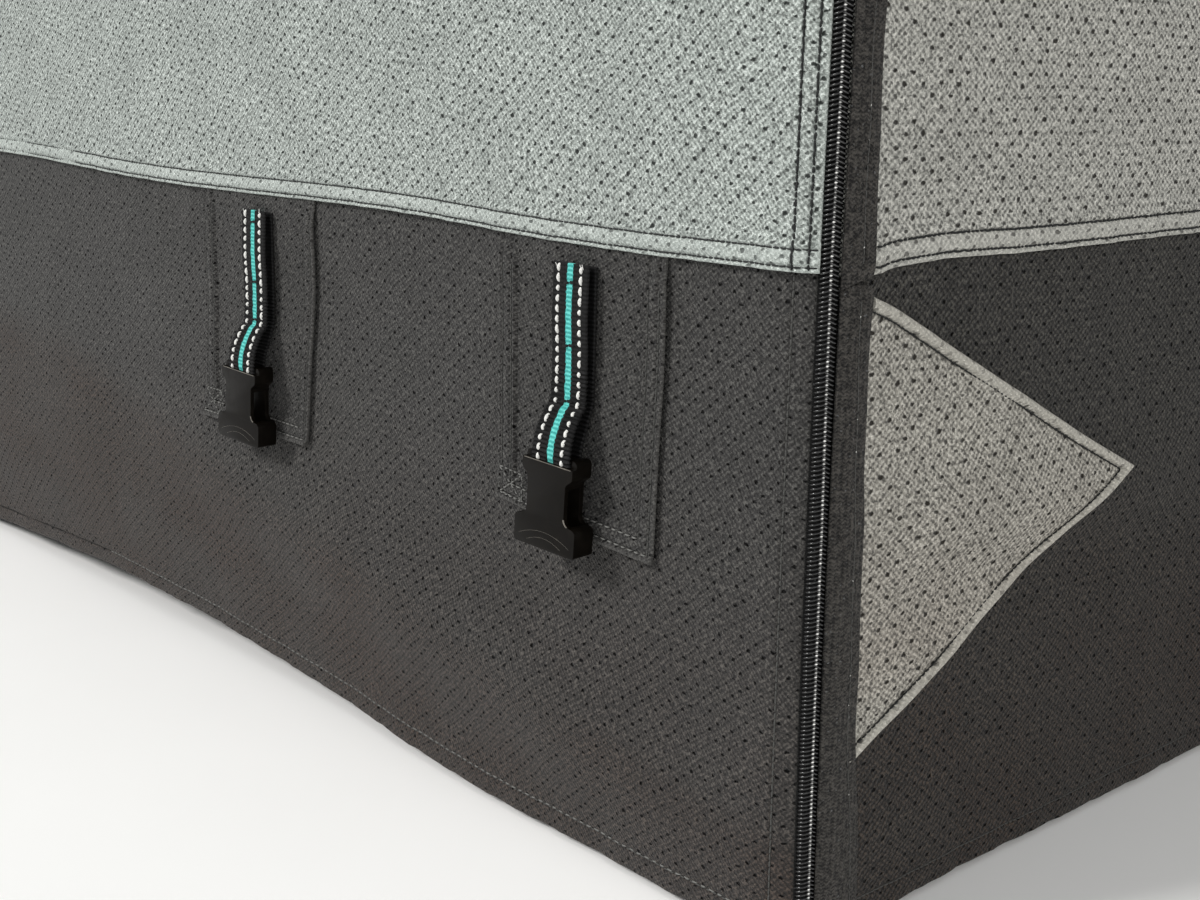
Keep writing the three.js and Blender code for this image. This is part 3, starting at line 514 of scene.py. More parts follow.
def webbing_material():
    """Black woven webbing with ribs across it and a teal stripe in the middle."""
    n = Nodes("webbing_weave")
    across, along, _ = n.split(n.lay())
    flat = n.pack(across, along)
    rib = n.math("COSINE", n.math("MULTIPLY", across, 2 * math.pi / RIB_PITCH))
    pick = n.math("COSINE", n.math("MULTIPLY", along, 2 * math.pi / PICK_PITCH))
    grain = n.noise(flat, 900, 3.0, 0.6)
    slub = n.noise(flat, 330, 2.0)
    raised = n.math("ADD", n.math("MULTIPLY", pick, 0.4), grain)
    black = n.mix(n.ramp(raised, 0.0, 1.3), linear(1, 1, 1), linear(26, 26, 27))
    shade = n.math("ADD", n.math("MULTIPLY", pick, 0.25), n.math("MULTIPLY", grain, 0.8))
    shade = n.math("ADD", shade, n.math("MULTIPLY", slub, 0.5))
    teal = n.mix(n.ramp(shade, 0.2, 1.1), linear(38, 134, 130), linear(104, 206, 198))
    ragged = n.math("MULTIPLY", n.math("SUBTRACT", slub, 0.5), 1.6 * MM)
    wavy = n.math("ADD", n.math("ABSOLUTE", across), n.math("ADD", ragged, n.math("MULTIPLY", pick, 0.18 * MM)))
    stripe = n.ramp(wavy, TEAL_HALF - 0.1 * MM, TEAL_HALF + 0.15 * MM, 1.0, 0.0)
    n.set(base_color=n.mix(stripe, black, teal), roughness=0.7, sheen_weight=0.0, specular_ior_level=0.2)
    relief = n.math("ADD", n.math("MULTIPLY", rib, 0.2), n.math("MULTIPLY", pick, 0.5))
    n.bump(n.math("ADD", relief, n.math("MULTIPLY", grain, 0.5)), 0.3 * MM, 0.9)
    return n.material


def coil_material():
    """Black nylon filament, with a painted highlight where the turns stand highest."""
    n = Nodes("coil_nylon")
    _, _, glint = n.split(n.lay())
    n.set(
        base_color=n.mix(n.ramp(glint, 0.08, 0.75), linear(9, 9, 10), linear(225, 225, 222)),
        roughness=0.24,
        specular_ior_level=0.7,
    )
    return n.material


def plastic_material(name, colour, roughness, shine=0.5):
    """Moulded black plastic: a fine satin skin with a few dull scuffs."""
    n = Nodes(name)
    place = n.tree.nodes.new("ShaderNodeTexCoord").outputs["Object"]
    skin = n.noise(place, 1400, 2.0)
    scuff = n.noise(place, 120, 4.0, 0.7)
    n.set(
        base_color=n.mix(n.ramp(scuff, 0.45, 0.75), colour, tuple(1.9 * c for c in colour)),
        roughness=n.ramp(scuff, 0.35, 0.75, roughness, roughness + 0.2),
        specular_ior_level=shine,
    )
    n.bump(skin, 0.06 * MM, 0.35)
    return n.material


def floor_material():
    n = Nodes("pale_floor")
    place = n.tree.nodes.new("ShaderNodeTexCoord").outputs["Object"]
    n.set(base_color=n.mix(n.noise(place, 6, 3.0), linear(246, 246, 245), linear(250, 250, 249)), roughness=0.9)
    return n.material


# Shape of the cover


def outline(run, inset=0.0):
    """Points of the plan outline and the directions out of it. inset draws it in, rounder."""
    run, inset = np.broadcast_arrays(np.mod(run, ROUND), inset)
    radius = CORNER_RADIUS + CORNER_GROWTH * inset
    halves = (WIDTH / 2 - inset, LENGTH / 2 - inset)
    points = np.zeros(run.shape + (2,))
    outs = np.zeros(run.shape + (2,))
    begin = 0.0
    for turn, (sign_x, sign_y) in enumerate([(1, -1), (1, 1), (-1, 1), (-1, -1)]):
        angle = (turn - 1) * math.pi / 2 + np.clip(run - begin, 0, QUARTER) / CORNER_RADIUS
        out = np.stack([np.cos(angle), np.sin(angle)], -1)
        middle = np.stack([sign_x * (halves[0] - radius), sign_y * (halves[1] - radius)], -1)
        here = (run >= begin) & (run < begin + QUARTER)
        points[here] = (middle + out * radius[..., None])[here]
        outs[here] = out[here]
        begin += QUARTER
        straight = (ALONG, ACROSS)[turn % 2]
        out = np.array([math.cos(turn * math.pi / 2), math.sin(turn * math.pi / 2)]).round()
        along = np.array([-out[1], out[0]])
        share = (run - begin) / straight
        reach = halves[(turn + 1) % 2] - radius
        flat = out * halves[turn % 2][..., None] + along * ((2 * share - 1) * reach)[..., None]
        here = (run >= begin) & (run < begin + straight + 1e-9)
        points[here] = flat[here]
        outs[here] = out
        begin += straight
    return points, outs


def swell(distance, half):
    reach = np.abs(distance) / half
    fading = 0.5 + 0.5 * np.cos(2 * np.pi * (reach - 0.5))
    return np.where(reach >= 1, 0, np.where(reach <= 0.5, 1, fading))


def crest(distance, half):
    reach = np.abs(distance) / half
    return np.where(reach >= 1, 0, 0.5 + 0.5 * np.cos(np.pi * reach))


def place_on(side, run):
    """Distance along a wall from its first corner, in millimetres: the front's is from the zip."""
    wall = SIDES[side]
    place = np.clip(run - wall["start"], 0, wall["length"])
    return (CORNER_RADIUS + (wall["length"] - place if side == "front" else place)) / MM


# Folds fade over a short way into the corners
CORNER_FADE = 8 * MM

# Waves too small to be folds: lengths along and up the wall in millimetres, and relief
RIPPLES = [
    {"along": 310, "up": 190, "out": 0.9, "turn": 0.5},
    {"along": 170, "up": 120, "out": 0.55, "turn": -0.7},
    {"along": 84, "up": 64, "out": 0.22, "turn": 0.9},
]
# Puckers that the topstitching draws beside the seam
PUCKERS = [{"length": 37, "out": 0.45}, {"length": 19.3, "out": 0.34}, {"length": 12.1, "out": 0.2}]
PUCKER_REACH = 30


def ripples(at, height):
    out = 0.0
    for k, wave in enumerate(RIPPLES):
        u = at * math.cos(wave["turn"]) + height * math.sin(wave["turn"])
        v = height * math.cos(wave["turn"]) - at * math.sin(wave["turn"])
        bend = 1.3 * np.sin(2 * np.pi * v / (2.7 * wave["up"]) + k)
        out = out + wave["out"] * np.sin(2 * np.pi * u / wave["along"] + bend) * np.cos(
            2 * np.pi * v / wave["up"] + 2.1 * k
        )
    return out


def puckers(at, height, seam):
    out = 0.0
    for k, wave in enumerate(PUCKERS):
        slip = 0.9 * np.sin(at / (3.1 * wave["length"]) + k)
        out = out + wave["out"] * np.sin(2 * np.pi * at / wave["length"] + slip + 0.05 * height)
    return out * np.exp(-np.abs(height - seam / MM) / PUCKER_REACH)


def relief(side, run, z):
    """How far the cloth of a wall stands out of its plain plane, in metres."""
    wall = SIDES[side]
    at, height = place_on(side, run), z / MM
    out = 0.0
    for fold in FOLDS[side]:
        middle = fold["z"] + fold["slope"] * (at - fold["at"])
        out = out + fold["out"] * swell(at - fold["at"], fold["length"]) * crest(height - middle, fold["height"])
    out = out + ripples(at, height) + puckers(at, height, SEAM) + puckers(at, height, 0) * 0.7
    past = np.maximum(wall["start"] - run, run - wall["start"] - wall["length"])
    return out * MM * np.clip(1 - past / CORNER_FADE, 0, 1)


def hem_arch(side, run, z):
    at = place_on(side, run)
    up = sum(arch["up"] * crest(at - arch["at"], arch["length"]) for arch in ARCHES[side])
    return up * MM * np.clip(1 - z / ARCH_REACH, 0, 1)


def seam_sag(side, run, z):
    at = place_on(side, run)
    drop = sum(sag["drop"] * crest(at - sag["at"], sag["length"]) for sag in SAGS[side])
    return drop * MM * crest(z - SEAM, SAG_REACH)


def wall_point(side, run, z, depth):
    """Points of a wall at a depth outwards from the skin of the light walls."""
    run, z, depth = np.broadcast_arrays(run, z, depth)
    points, outs = outline(run)
    flat = points + outs * (depth + relief(side, run, z))[..., None]
    return np.concatenate([flat, (z + hem_arch(side, run, z) - seam_sag(side, run, z))[..., None]], -1)


def zip_drift(z):
    return ZIP_DRIFT * (np.maximum(0, SEAM - z) / DRIFT_DEPTH) ** 2


def crown_height(x, y):
    across = x / (WIDTH / 2 - EDGE_RADIUS)
    along = y / (LENGTH / 2 - EDGE_RADIUS)
    height = CROWN * (1 - across**2) * (1 - along**4)
    for fold in ROOF_FOLDS:
        height = height + fold["out"] * MM * crest(x / MM - fold["x"], fold["half_x"]) * crest(
            y / MM - fold["y"], fold["half_y"]
        )
    wrinkle = ripples(x / MM, y / MM) * MM * (1 - across**4) * (1 - along**4)
    return EDGE_START + EDGE_RADIUS + np.maximum(0, height) + wrinkle


# Meshes


def new_piece(name, points, faces, material, lay=None, sharp=40.0):
    """A mesh object that rides on the cover's one body."""
    mesh = bpy.data.meshes.new(name)
    mesh.from_pydata(np.asarray(points).tolist(), [], faces)
    mesh.update()
    if lay is not None:
        attribute = mesh.attributes.new("lay", "FLOAT_VECTOR", "POINT")
        attribute.data.foreach_set("vector", np.ascontiguousarray(lay, np.float32).ravel())
    mesh.polygons.foreach_set("use_smooth", np.ones(len(mesh.polygons), bool))
    mesh.set_sharp_from_angle(angle=math.radians(sharp))
    mesh.materials.append(material)
    piece = bpy.data.objects.new(name, mesh)
    bpy.context.scene.collection.objects.link(piece)
    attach(piece, "root")
    return piece


def grid_faces(columns, rows, offset=0, flip=False):
    i, j = np.meshgrid(np.arange(columns - 1), np.arange(rows - 1), indexing="ij")
    a = offset + i * rows + j
    quad = [a, a + rows, a + rows + 1, a + 1]
    if flip:
        quad.reverse()
    return np.stack(quad, -1).reshape(-1, 4).tolist()


def rim_faces(columns, rows, looped=False):
    """The narrow faces that join the edges of the outer grid to those of the inner one."""
    count = columns * rows
    bottom = [i * rows for i in range(columns)]
    top = [i * rows + rows - 1 for i in range(columns)]
    faces = []
    for a, b in zip(bottom, bottom[1:]):
        faces.append([a, a + count, b + count, b])
    for a, b in zip(top, top[1:]):
        faces.append([a, b, b + count, a + count])
    if not looped:
        last = (columns - 1) * rows
        for j in range(rows - 1):
            faces.append([j, j + 1, j + 1 + count, j + count])
            faces.append([last + j, last + j + count, last + j + 1 + count, last + j + 1])
    return faces


def cloth_piece(name, outer, inner, lay, material):
    """A closed sheet between an outer and an inner grid of points."""
    columns, rows = outer.shape[:2]
    points = np.concatenate([outer.reshape(-1, 3), inner.reshape(-1, 3)])
    faces = grid_faces(columns, rows) + grid_faces(columns, rows, columns * rows, flip=True)
    faces += rim_faces(columns, rows)
    flat = lay.reshape(-1, 3)
    return new_piece(name, points, faces, material, np.concatenate([flat, flat]))


def spans(*stretches):
    """Rising divisions through stretches of (from, to, largest step)."""
    lines = [np.linspace(a, b, max(2, math.ceil((b - a) / step) + 1)) for a, b, step in stretches]
    merged = np.concatenate(lines)
    return merged[np.concatenate([[True], np.diff(merged) > 1e-7])]


# Pieces lie apart on their cloth, so that no two show the same stretch of it


def lay_grid(run, z, number, calm_and_sheen=0.0):
    """Where points lie on the flat cloth: along it, up it, and how far a fold smooths it and lightens it with a
    painted highlight.
    """
    run, z, calm_and_sheen = np.broadcast_arrays(run, z, calm_and_sheen)
    return np.stack([run + number * PIECE_STEP, z, calm_and_sheen], -1)


def folded_edge(inward, width=1.5 * MM):
    """Smoothing and painted highlight of a folded edge, by distance in from it."""
    return np.clip(1 - inward / width, 0, 1)


# The rounded bottom of a hem: height above the edge and how far its face falls back there
EDGE_ROUND = np.array([(0.0, 1.15), (0.12, 0.62), (0.4, 0.26), (0.85, 0.06), (1.4, 0.0)]) * MM
STITCH_SINK = 0.75 * MM
HEM_PUFF = 0.7 * MM
HEM_PLUMP = 0.7 * MM
SINK_HALF = 1.5 * MM


def hem_profile(height, rows, width=HEM_WIDTH, rise=HEM_RISE):
    """Face of a hem above the plain cloth, by height above its edge, with its stitch rows drawn in."""
    face = rise * np.clip(1 - (height - width) / (1.6 * MM), 0, 1)
    if len(rows) > 1:
        middle, half = (rows[0] + rows[1]) / 2, (rows[1] - rows[0]) / 2
        face = face + HEM_PUFF * crest(height - middle, half)
    face = face - np.interp(height, EDGE_ROUND[:, 0], EDGE_ROUND[:, 1], right=0)
    for row in rows:
        face = face - STITCH_SINK * crest(height - row, SINK_HALF)
    return face


def plump_rise(side, run):
    """How far the light panels' hem stands out: least under the zip tape."""
    beyond = (run - QUARTER) / (8 * MM) if side == "right" else 1.0
    return HEM_RISE + HEM_PLUMP * np.clip(beyond, 0, 1)


def hem_heights(rows, width=HEM_WIDTH):
    """Divisions that a hem needs, above its edge."""
    lines = list(EDGE_ROUND[:, 0])
    for row in rows:
        lines += [row - SINK_HALF, row - SINK_HALF / 2, row, row + SINK_HALF / 2, row + SINK_HALF]
    lines += [width, width + 0.8 * MM, width + 1.6 * MM]
    return np.unique(np.round(np.clip(lines, 0, None), 6))


FINE, COARSE, ARC = 5 * MM, 24 * MM, 3.4 * MM
SEEN = 0.64
CORNER_HEM = 13.5 * MM


def wall_runs(side):
    wall = SIDES[side]
    start, end = wall["start"], wall["start"] + wall["length"]
    half = QUARTER / 2
    if side == "front":
        return spans(
            (start - half, start, ARC),
            (start, -SEEN, COARSE),
            (-SEEN, 0, FINE),
            (0, PANEL_END, ARC),
        )
    if side == "right":
        return spans(
            (TAPE_START, QUARTER, ARC),
            (start, start + SEEN / 2, FINE),
            (start + SEEN / 2, end, COARSE),
            (end, end + half, ARC),
        )
    return spans((start - half, start, ARC), (start, end, COARSE), (end, end + half, ARC))


def with_hem(base, rows, *above):
    """Heights of a sheet from its hem up."""
    return np.unique(np.round(np.concatenate([base + hem_heights(rows), spans(*above)]), 6))


FINE_ROWS = 6 * MM
SEEN_TOP = SEAM + 0.17
BAND_HEIGHTS = {
    True: with_hem(0, (BOTTOM_ROW,), (LAP, SEAM + LAP, FINE_ROWS)),
    False: with_hem(0, (BOTTOM_ROW,), (LAP, SEAM + LAP, 14 * MM)),
}
UPPER_HEIGHTS = {
    True: with_hem(
        SEAM,
        HEM_ROWS + SIDE_HEM_ROWS,
        (SEAM + LAP, SEEN_TOP, FINE_ROWS),
        (SEEN_TOP, ROOF_HEM + LAP, 20 * MM),
    ),
    False: with_hem(SEAM, HEM_ROWS, (SEAM + LAP, ROOF_HEM + LAP, 20 * MM)),
}
CORNER_ROWS = (4.6 * MM, 11.4 * MM)


def corner_shift(side, run, z):
    """The zip's side of the cloth follows the zip's lean below the seam."""
    if side == "front":
        near = np.clip((run + 10 * MM) / (PANEL_END + 10 * MM), 0, 1)
    elif side == "right":
        near = np.clip(1 - (run - TAPE_START) / (QUARTER - TAPE_START), 0, 1)
    else:
        near = 0.0
    return run + zip_drift(z) * near


def zip_edge(side, run, upper):
    """The turned edge of the front cloth beside the zip, with its two rows of stitches."""
    if side != "front":
        return 0.0
    height = PANEL_END - run
    rows = CORNER_ROWS if upper else CORNER_ROWS[1:]
    return hem_profile(height, rows, width=CORNER_HEM, rise=0.5 * MM)


def panel_face(side, upper, run, z):
    """Face of a wall's cloth beyond its wall, with its hems and stitch rows."""
    rows = (SIDE_HEM_ROWS if side == "right" else HEM_ROWS) if upper else (BOTTOM_ROW,)
    width = rows[-1] + 2 * MM
    if upper:
        hem = hem_profile(z - SEAM, rows, width, plump_rise(side, run))
    else:
        hem = hem_profile(z, rows, width, 0.3 * MM)
    return (WALL_FACE if upper else BAND_FACE) + hem + zip_edge(side, run, upper)


def wall_columns(side, upper):
    runs = wall_runs(side)
    if side == "front":
        rows = CORNER_ROWS if upper else CORNER_ROWS[1:]
        hem = PANEL_END - hem_heights(rows, CORNER_HEM)
        flat_end = -10 * MM
        bend = spans((flat_end, PANEL_END - CORNER_HEM - 2 * MM, ARC))
        runs = np.concatenate([runs[runs < flat_end], bend, hem])
        runs = np.unique(np.round(runs, 6))
    return runs


def add_wall(side, number, materials):
    fine = side in ("front", "right")
    pieces = []
    for upper in (True, False):
        heights = (UPPER_HEIGHTS if upper else BAND_HEIGHTS)[fine]
        runs = wall_columns(side, upper)
        run, z = runs[:, None], heights[None, :]
        shifted = corner_shift(side, run, z)
        base, face = (SEAM, WALL_FACE) if upper else (0, BAND_FACE)
        outer = wall_point(side, shifted, z, panel_face(side, upper, run, z))
        inner = wall_point(side, shifted, z, face - CLOTH + 0.5 * MM)
        name = side + ("_upper" if upper else "_lower") + "_cloth"
        calm_and_sheen = np.maximum(folded_edge(z - base), folded_edge(PANEL_END - run) if side == "front" else 0)
        if upper:
            # The light panels' hems: a little smoother, and lighter as a painted highlight.
            calm_and_sheen = np.maximum(calm_and_sheen, 0.4 * (z - base < HEM_WIDTH))
        lay = lay_grid(run, z, number + 4 * upper, calm_and_sheen)
        piece = cloth_piece(name, outer, inner, lay, materials[upper])
        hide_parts(side + ("_upper_panel" if upper else "_lower_band"))
        width = SIDES[side]["length"] + QUARTER
        size = (width, heights[-1] - heights[0] + HEM_WIDTH)
        rests = ["roof_cloth"] if upper else [side + "_upper_cloth"]
        pieces.append((piece, size, rests))
    return pieces


# Stitches


def stitch_template(sides, rings, sink=0.25):
    """One stitch along x from -0.5 to 0.5: a low arch that dives into the cloth at both ends."""
    points = [(-0.5, 0.0, -1.0)]
    for x in rings:
        girth = math.sqrt(max(0.05, 1 - (1.7 * x) ** 2))
        lift = 0.9 * (1 - (2 * x) ** 2) - sink
        for k in range(sides):
            angle = 2 * math.pi * (k + 0.5) / sides
            points.append((x, girth * math.cos(angle), lift + girth * math.sin(angle)))
    points.append((0.5, 0.0, -1.0))
    faces = [(0, 1 + (k + 1) % sides, 1 + k) for k in range(sides)]
    for ring in range(len(rings) - 1):
        a = 1 + ring * sides
        for k in range(sides):
            n = (k + 1) % sides
            faces.append((a + k, a + n, a + n + sides, a + k + sides))
    last = 1 + (len(rings) - 1) * sides
    faces += [(last + k, last + (k + 1) % sides, len(points) - 1) for k in range(sides)]
    return np.array(points), faces


NEAR_STITCH = stitch_template(5, (-0.33, 0.0, 0.33))
FAR_STITCH = stitch_template(3, (0.0,))
BEAD = stitch_template(8, (-0.45, -0.3, -0.1, 0.1, 0.3, 0.45), sink=0.6)


class Thread:
    """Collects the stitches of one thread and makes them one piece."""

    def __init__(self, name, material, slot):
        self.name, self.material, self.slot = name, material, slot
        self.points, self.faces, self.lays, self.count = [], [], [], 0

    def row(
        self, points, outs, pitch=STITCH_PITCH, share=STITCH_LENGTH, thick=THREAD, shape=NEAR_STITCH, wobble=1.0
    ):
        """A row of stitches along a line of points, each with its direction out of the cloth."""
        steps = np.linalg.norm(np.diff(points, axis=0), axis=1)
        travelled = np.concatenate([[0], np.cumsum(steps)])
        count = int(travelled[-1] // pitch)
        if count < 1:
            return
        middle = (np.arange(count) + 0.5) * travelled[-1] / count
        half = share * pitch / 2 * (1 + 0.16 * wobble * rng.uniform(-1, 1, count))

        def at(distance, values):
            return np.stack([np.interp(distance, travelled, values[:, k]) for k in range(3)], -1)

        here, before, after = at(middle, points), at(middle - half, points), at(middle + half, points)
        along = after - before
        length = np.linalg.norm(along, axis=1, keepdims=True)
        along /= length
        out = at(middle, outs)
        side = np.cross(out, along)
        side /= np.linalg.norm(side, axis=1, keepdims=True)
        out = np.cross(along, side)
        lean = 0.08 * wobble * rng.uniform(-1, 1, (count, 1))
        along = along + side * lean
        template, faces = shape
        placed = (
            here[:, None]
            + template[None, :, :1] * (along * length)[:, None]
            + template[None, :, 1:2] * thick * side[:, None]
            + template[None, :, 2:] * thick * out[:, None]
        )
        for k in range(count):
            offset = self.count + k * len(template)
            self.faces += [tuple(v + offset for v in face) for face in faces]
        self.points.append(placed.reshape(-1, 3))
        lay = np.zeros(placed.shape)
        lay[..., 0] = template[None, :, 0] * 2 * half[:, None] + middle[:, None]
        lay[..., 1] = template[None, :, 1] * thick
        self.lays.append(lay.reshape(-1, 3))
        self.count += count * len(template)

    def finish(self):
        points = np.concatenate(self.points)
        return new_piece(self.name, points, self.faces, self.material, np.concatenate(self.lays))


def wall_line(side, run, z, depth):
    """A line of points on a wall and the directions out of it."""
    run, z = np.broadcast_arrays(np.asarray(run, float), np.asarray(z, float))
    points = wall_point(side, run, z, depth)
    _, outs = outline(run)
    return points, np.concatenate([outs, np.zeros(outs.shape[:-1] + (1,))], -1)


def dense(start, end, step=6 * MM):
    return np.linspace(start, end, max(2, int(abs(end - start) / step)))


def add_wall_stitches(side, threads):
    wall = SIDES[side]
    start, end = wall["start"] - QUARTER / 2, wall["start"] + wall["length"] + QUARTER / 2
    if side == "front":
        parts = [(start, -SEEN, FAR_STITCH), (-SEEN, PANEL_END - 1 * MM, NEAR_STITCH)]
    elif side == "right":
        tape_end = QUARTER - TAPE_SHORT_OF_FLAT + 1 * MM
        parts = [(tape_end, QUARTER + SEEN / 2, NEAR_STITCH), (QUARTER + SEEN / 2, end, FAR_STITCH)]
    else:
        parts = [(start, end, FAR_STITCH)]
    for a, b, shape in parts:
        near = shape is NEAR_STITCH
        dark, grey = (threads["dark"], threads["grey"]) if near else (threads["far"],) * 2
        line = dense(a, b, 4 * MM if near else 12 * MM)
        bold = {"thick": 0.6 * MM, "wobble": 2.5} if near and side == "right" else {}
        for row in SIDE_HEM_ROWS if side == "right" else HEM_ROWS:
            depth = panel_face(side, True, line, SEAM + row) + THREAD_PROUD
            dark.row(*wall_line(side, line, SEAM + row, depth), shape=shape, **bold)
        depth = panel_face(side, False, line, BOTTOM_ROW) + THREAD_PROUD
        grey.row(*wall_line(side, line, BOTTOM_ROW, depth), shape=shape)
        if side == "front" and near:
            beside = wall_line(side, line, BOTTOM_ROW + 0.5 * MM, depth)
            threads["ash"].row(*beside, pitch=5.4 * MM, share=0.7)


def add_corner_stitches(threads):
    """Rows up the front cloth beside the zip, and up the three plain corners."""
    for k, row in enumerate(CORNER_ROWS):
        upper = dense(SEAM + 0.8 * MM, ROOF_HEM, 1.3 * MM)
        run = np.full(upper.shape, PANEL_END - row)
        depth = panel_face("front", True, run, upper) + THREAD_PROUD
        threads["dark"].row(*wall_line("front", run, upper, depth), thick=0.56 * MM, wobble=2.0)
        if k:
            lower = dense(2 * MM, SEAM - 1 * MM)
            depth = panel_face("front", False, PANEL_END - row, lower) + THREAD_PROUD
            shifted = corner_shift("front", PANEL_END - row, lower)
            threads["grey"].row(*wall_line("front", shifted, lower, depth))
    for side in ("right", "rear", "left"):
        middle = SIDES[side]["start"] + SIDES[side]["length"] + QUARTER / 2
        for offset in (-6 * MM, 6 * MM):
            for low, high, depth in ((SEAM + LAP, ROOF_HEM, WALL_FACE), (2 * MM, SEAM, BAND_FACE)):
                line = dense(low, high)
                run = np.full(line.shape, middle + offset)
                threads["far"].row(*wall_line(side, run, line, depth), shape=FAR_STITCH)


# Roof


def add_roof(material, threads):
    """One cloth over the top, down past its edge and hemmed over the walls."""
    runs = np.concatenate([np.mod(wall_runs(side), ROUND) for side in SIDES] + [spans((0, QUARTER, ARC))])
    runs = np.unique(np.round(runs, 5))
    keep = np.concatenate([[True], np.diff(runs) > 1.2 * MM])
    runs = runs[keep]
    hem = ROOF_HEM + hem_heights(HEM_ROWS)
    rows = [(z, 0.0, 1.0) for z in hem] + [(EDGE_START, 0.0, 1.0)]
    rows += [(None, tilt, 1.0) for tilt in np.linspace(10, 90, 9)]
    rows += [(None, 90.0, reach) for reach in np.concatenate([np.linspace(0.97, 0.1, 24), [0.04]])]

    def ring(z, tilt, reach, face):
        angle = math.radians(tilt)
        inset = EDGE_RADIUS * (1 - math.cos(angle))
        flat, outs = outline(runs, inset)
        flat = flat * reach
        if tilt >= 90:
            height = crown_height(flat[:, 0], flat[:, 1])
        else:
            height = np.full(len(runs), z if z is not None else EDGE_START + EDGE_RADIUS * math.sin(angle))
        wave = puckers(runs / MM, height / MM, ROOF_HEM) * MM
        flat = flat + outs * ((face + wave) * math.cos(angle))[:, None]
        return np.column_stack([flat, height + face * math.sin(angle)])

    def shell(depth_at):
        return np.stack([ring(z, tilt, reach, depth_at(z)) for z, tilt, reach in rows], 1)

    def outer_depth(z):
        if z is None or z > ROOF_HEM + LAP + 1 * MM:
            return ROOF_FACE
        return ROOF_FACE + float(hem_profile(np.array(z - ROOF_HEM), HEM_ROWS))

    outer, inner = shell(outer_depth), shell(lambda z: ROOF_FACE - CLOTH + 0.5 * MM)
    columns, count = outer.shape[:2]
    steps = np.linalg.norm(np.diff(outer, axis=1), axis=2)
    travelled = np.concatenate([np.zeros((columns, 1)), np.cumsum(steps, 1)], 1)
    wall_lay = lay_grid(runs[:, None], ROOF_HEM + travelled, 5)
    top_lay = np.stack([outer[..., 0] + 9, outer[..., 1], np.zeros((columns, count))], -1)
    on_top = np.array([tilt >= 60 for _, tilt, _ in rows])
    lay = np.where(on_top[None, :, None], top_lay, wall_lay)
    points = np.concatenate([outer.reshape(-1, 3), inner.reshape(-1, 3)])
    total = columns * count
    tips = [[0, 0, float(crown_height(0.0, 0.0)) + ROOF_FACE + d] for d in (0, -CLOTH + 0.5 * MM)]
    points = np.concatenate([points, tips])
    faces = grid_faces(columns, count) + grid_faces(columns, count, total, flip=True)
    last = (columns - 1) * count
    for j in range(count - 1):
        faces.append([last + j, j, j + 1, last + j + 1])
        faces.append([total + last + j + 1, total + j + 1, total + j, total + last + j])
    for i in range(columns):
        a, b = i * count, (i + 1) % columns * count
        faces.append([b, a, a + total, b + total])
        faces.append([a + count - 1, b + count - 1, 2 * total])
        faces.append([b + count - 1 + total, a + count - 1 + total, 2 * total + 1])
    flat_lay = lay.reshape(-1, 3)
    tip_lay = [[9, 0, 0]] * 2
    piece = new_piece(
        "roof_cloth", points, faces, material, np.concatenate([flat_lay, flat_lay, tip_lay])
    )
    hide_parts("roof_panel")
    for row in HEM_ROWS:
        line = spans((0, ROUND, 12 * MM))
        flat, outs = outline(line)
        wave = puckers(line / MM, np.full(len(line), (ROOF_HEM + row) / MM), ROOF_HEM) * MM
        flat = flat + outs * (ROOF_FACE + HEM_RISE - STITCH_SINK * 0.75 + wave)[:, None]
        points = np.column_stack([flat, np.full(len(line), ROOF_HEM + row)])
        outs = np.column_stack([outs, np.zeros(len(line))])
        threads["far"].row(points, outs, shape=FAR_STITCH)
    return piece


# Pieces on the walls

PATCH_ROWS = (3.6 * MM, 10.4 * MM)
PATCH_HEM = 12.5 * MM
PATCH_RISE = 1.8 * MM
UNDERCUT = 3.0 * MM


PATCH_BOX = {"left": 3, "right": 21, "bottom": 3.5, "top": 18}


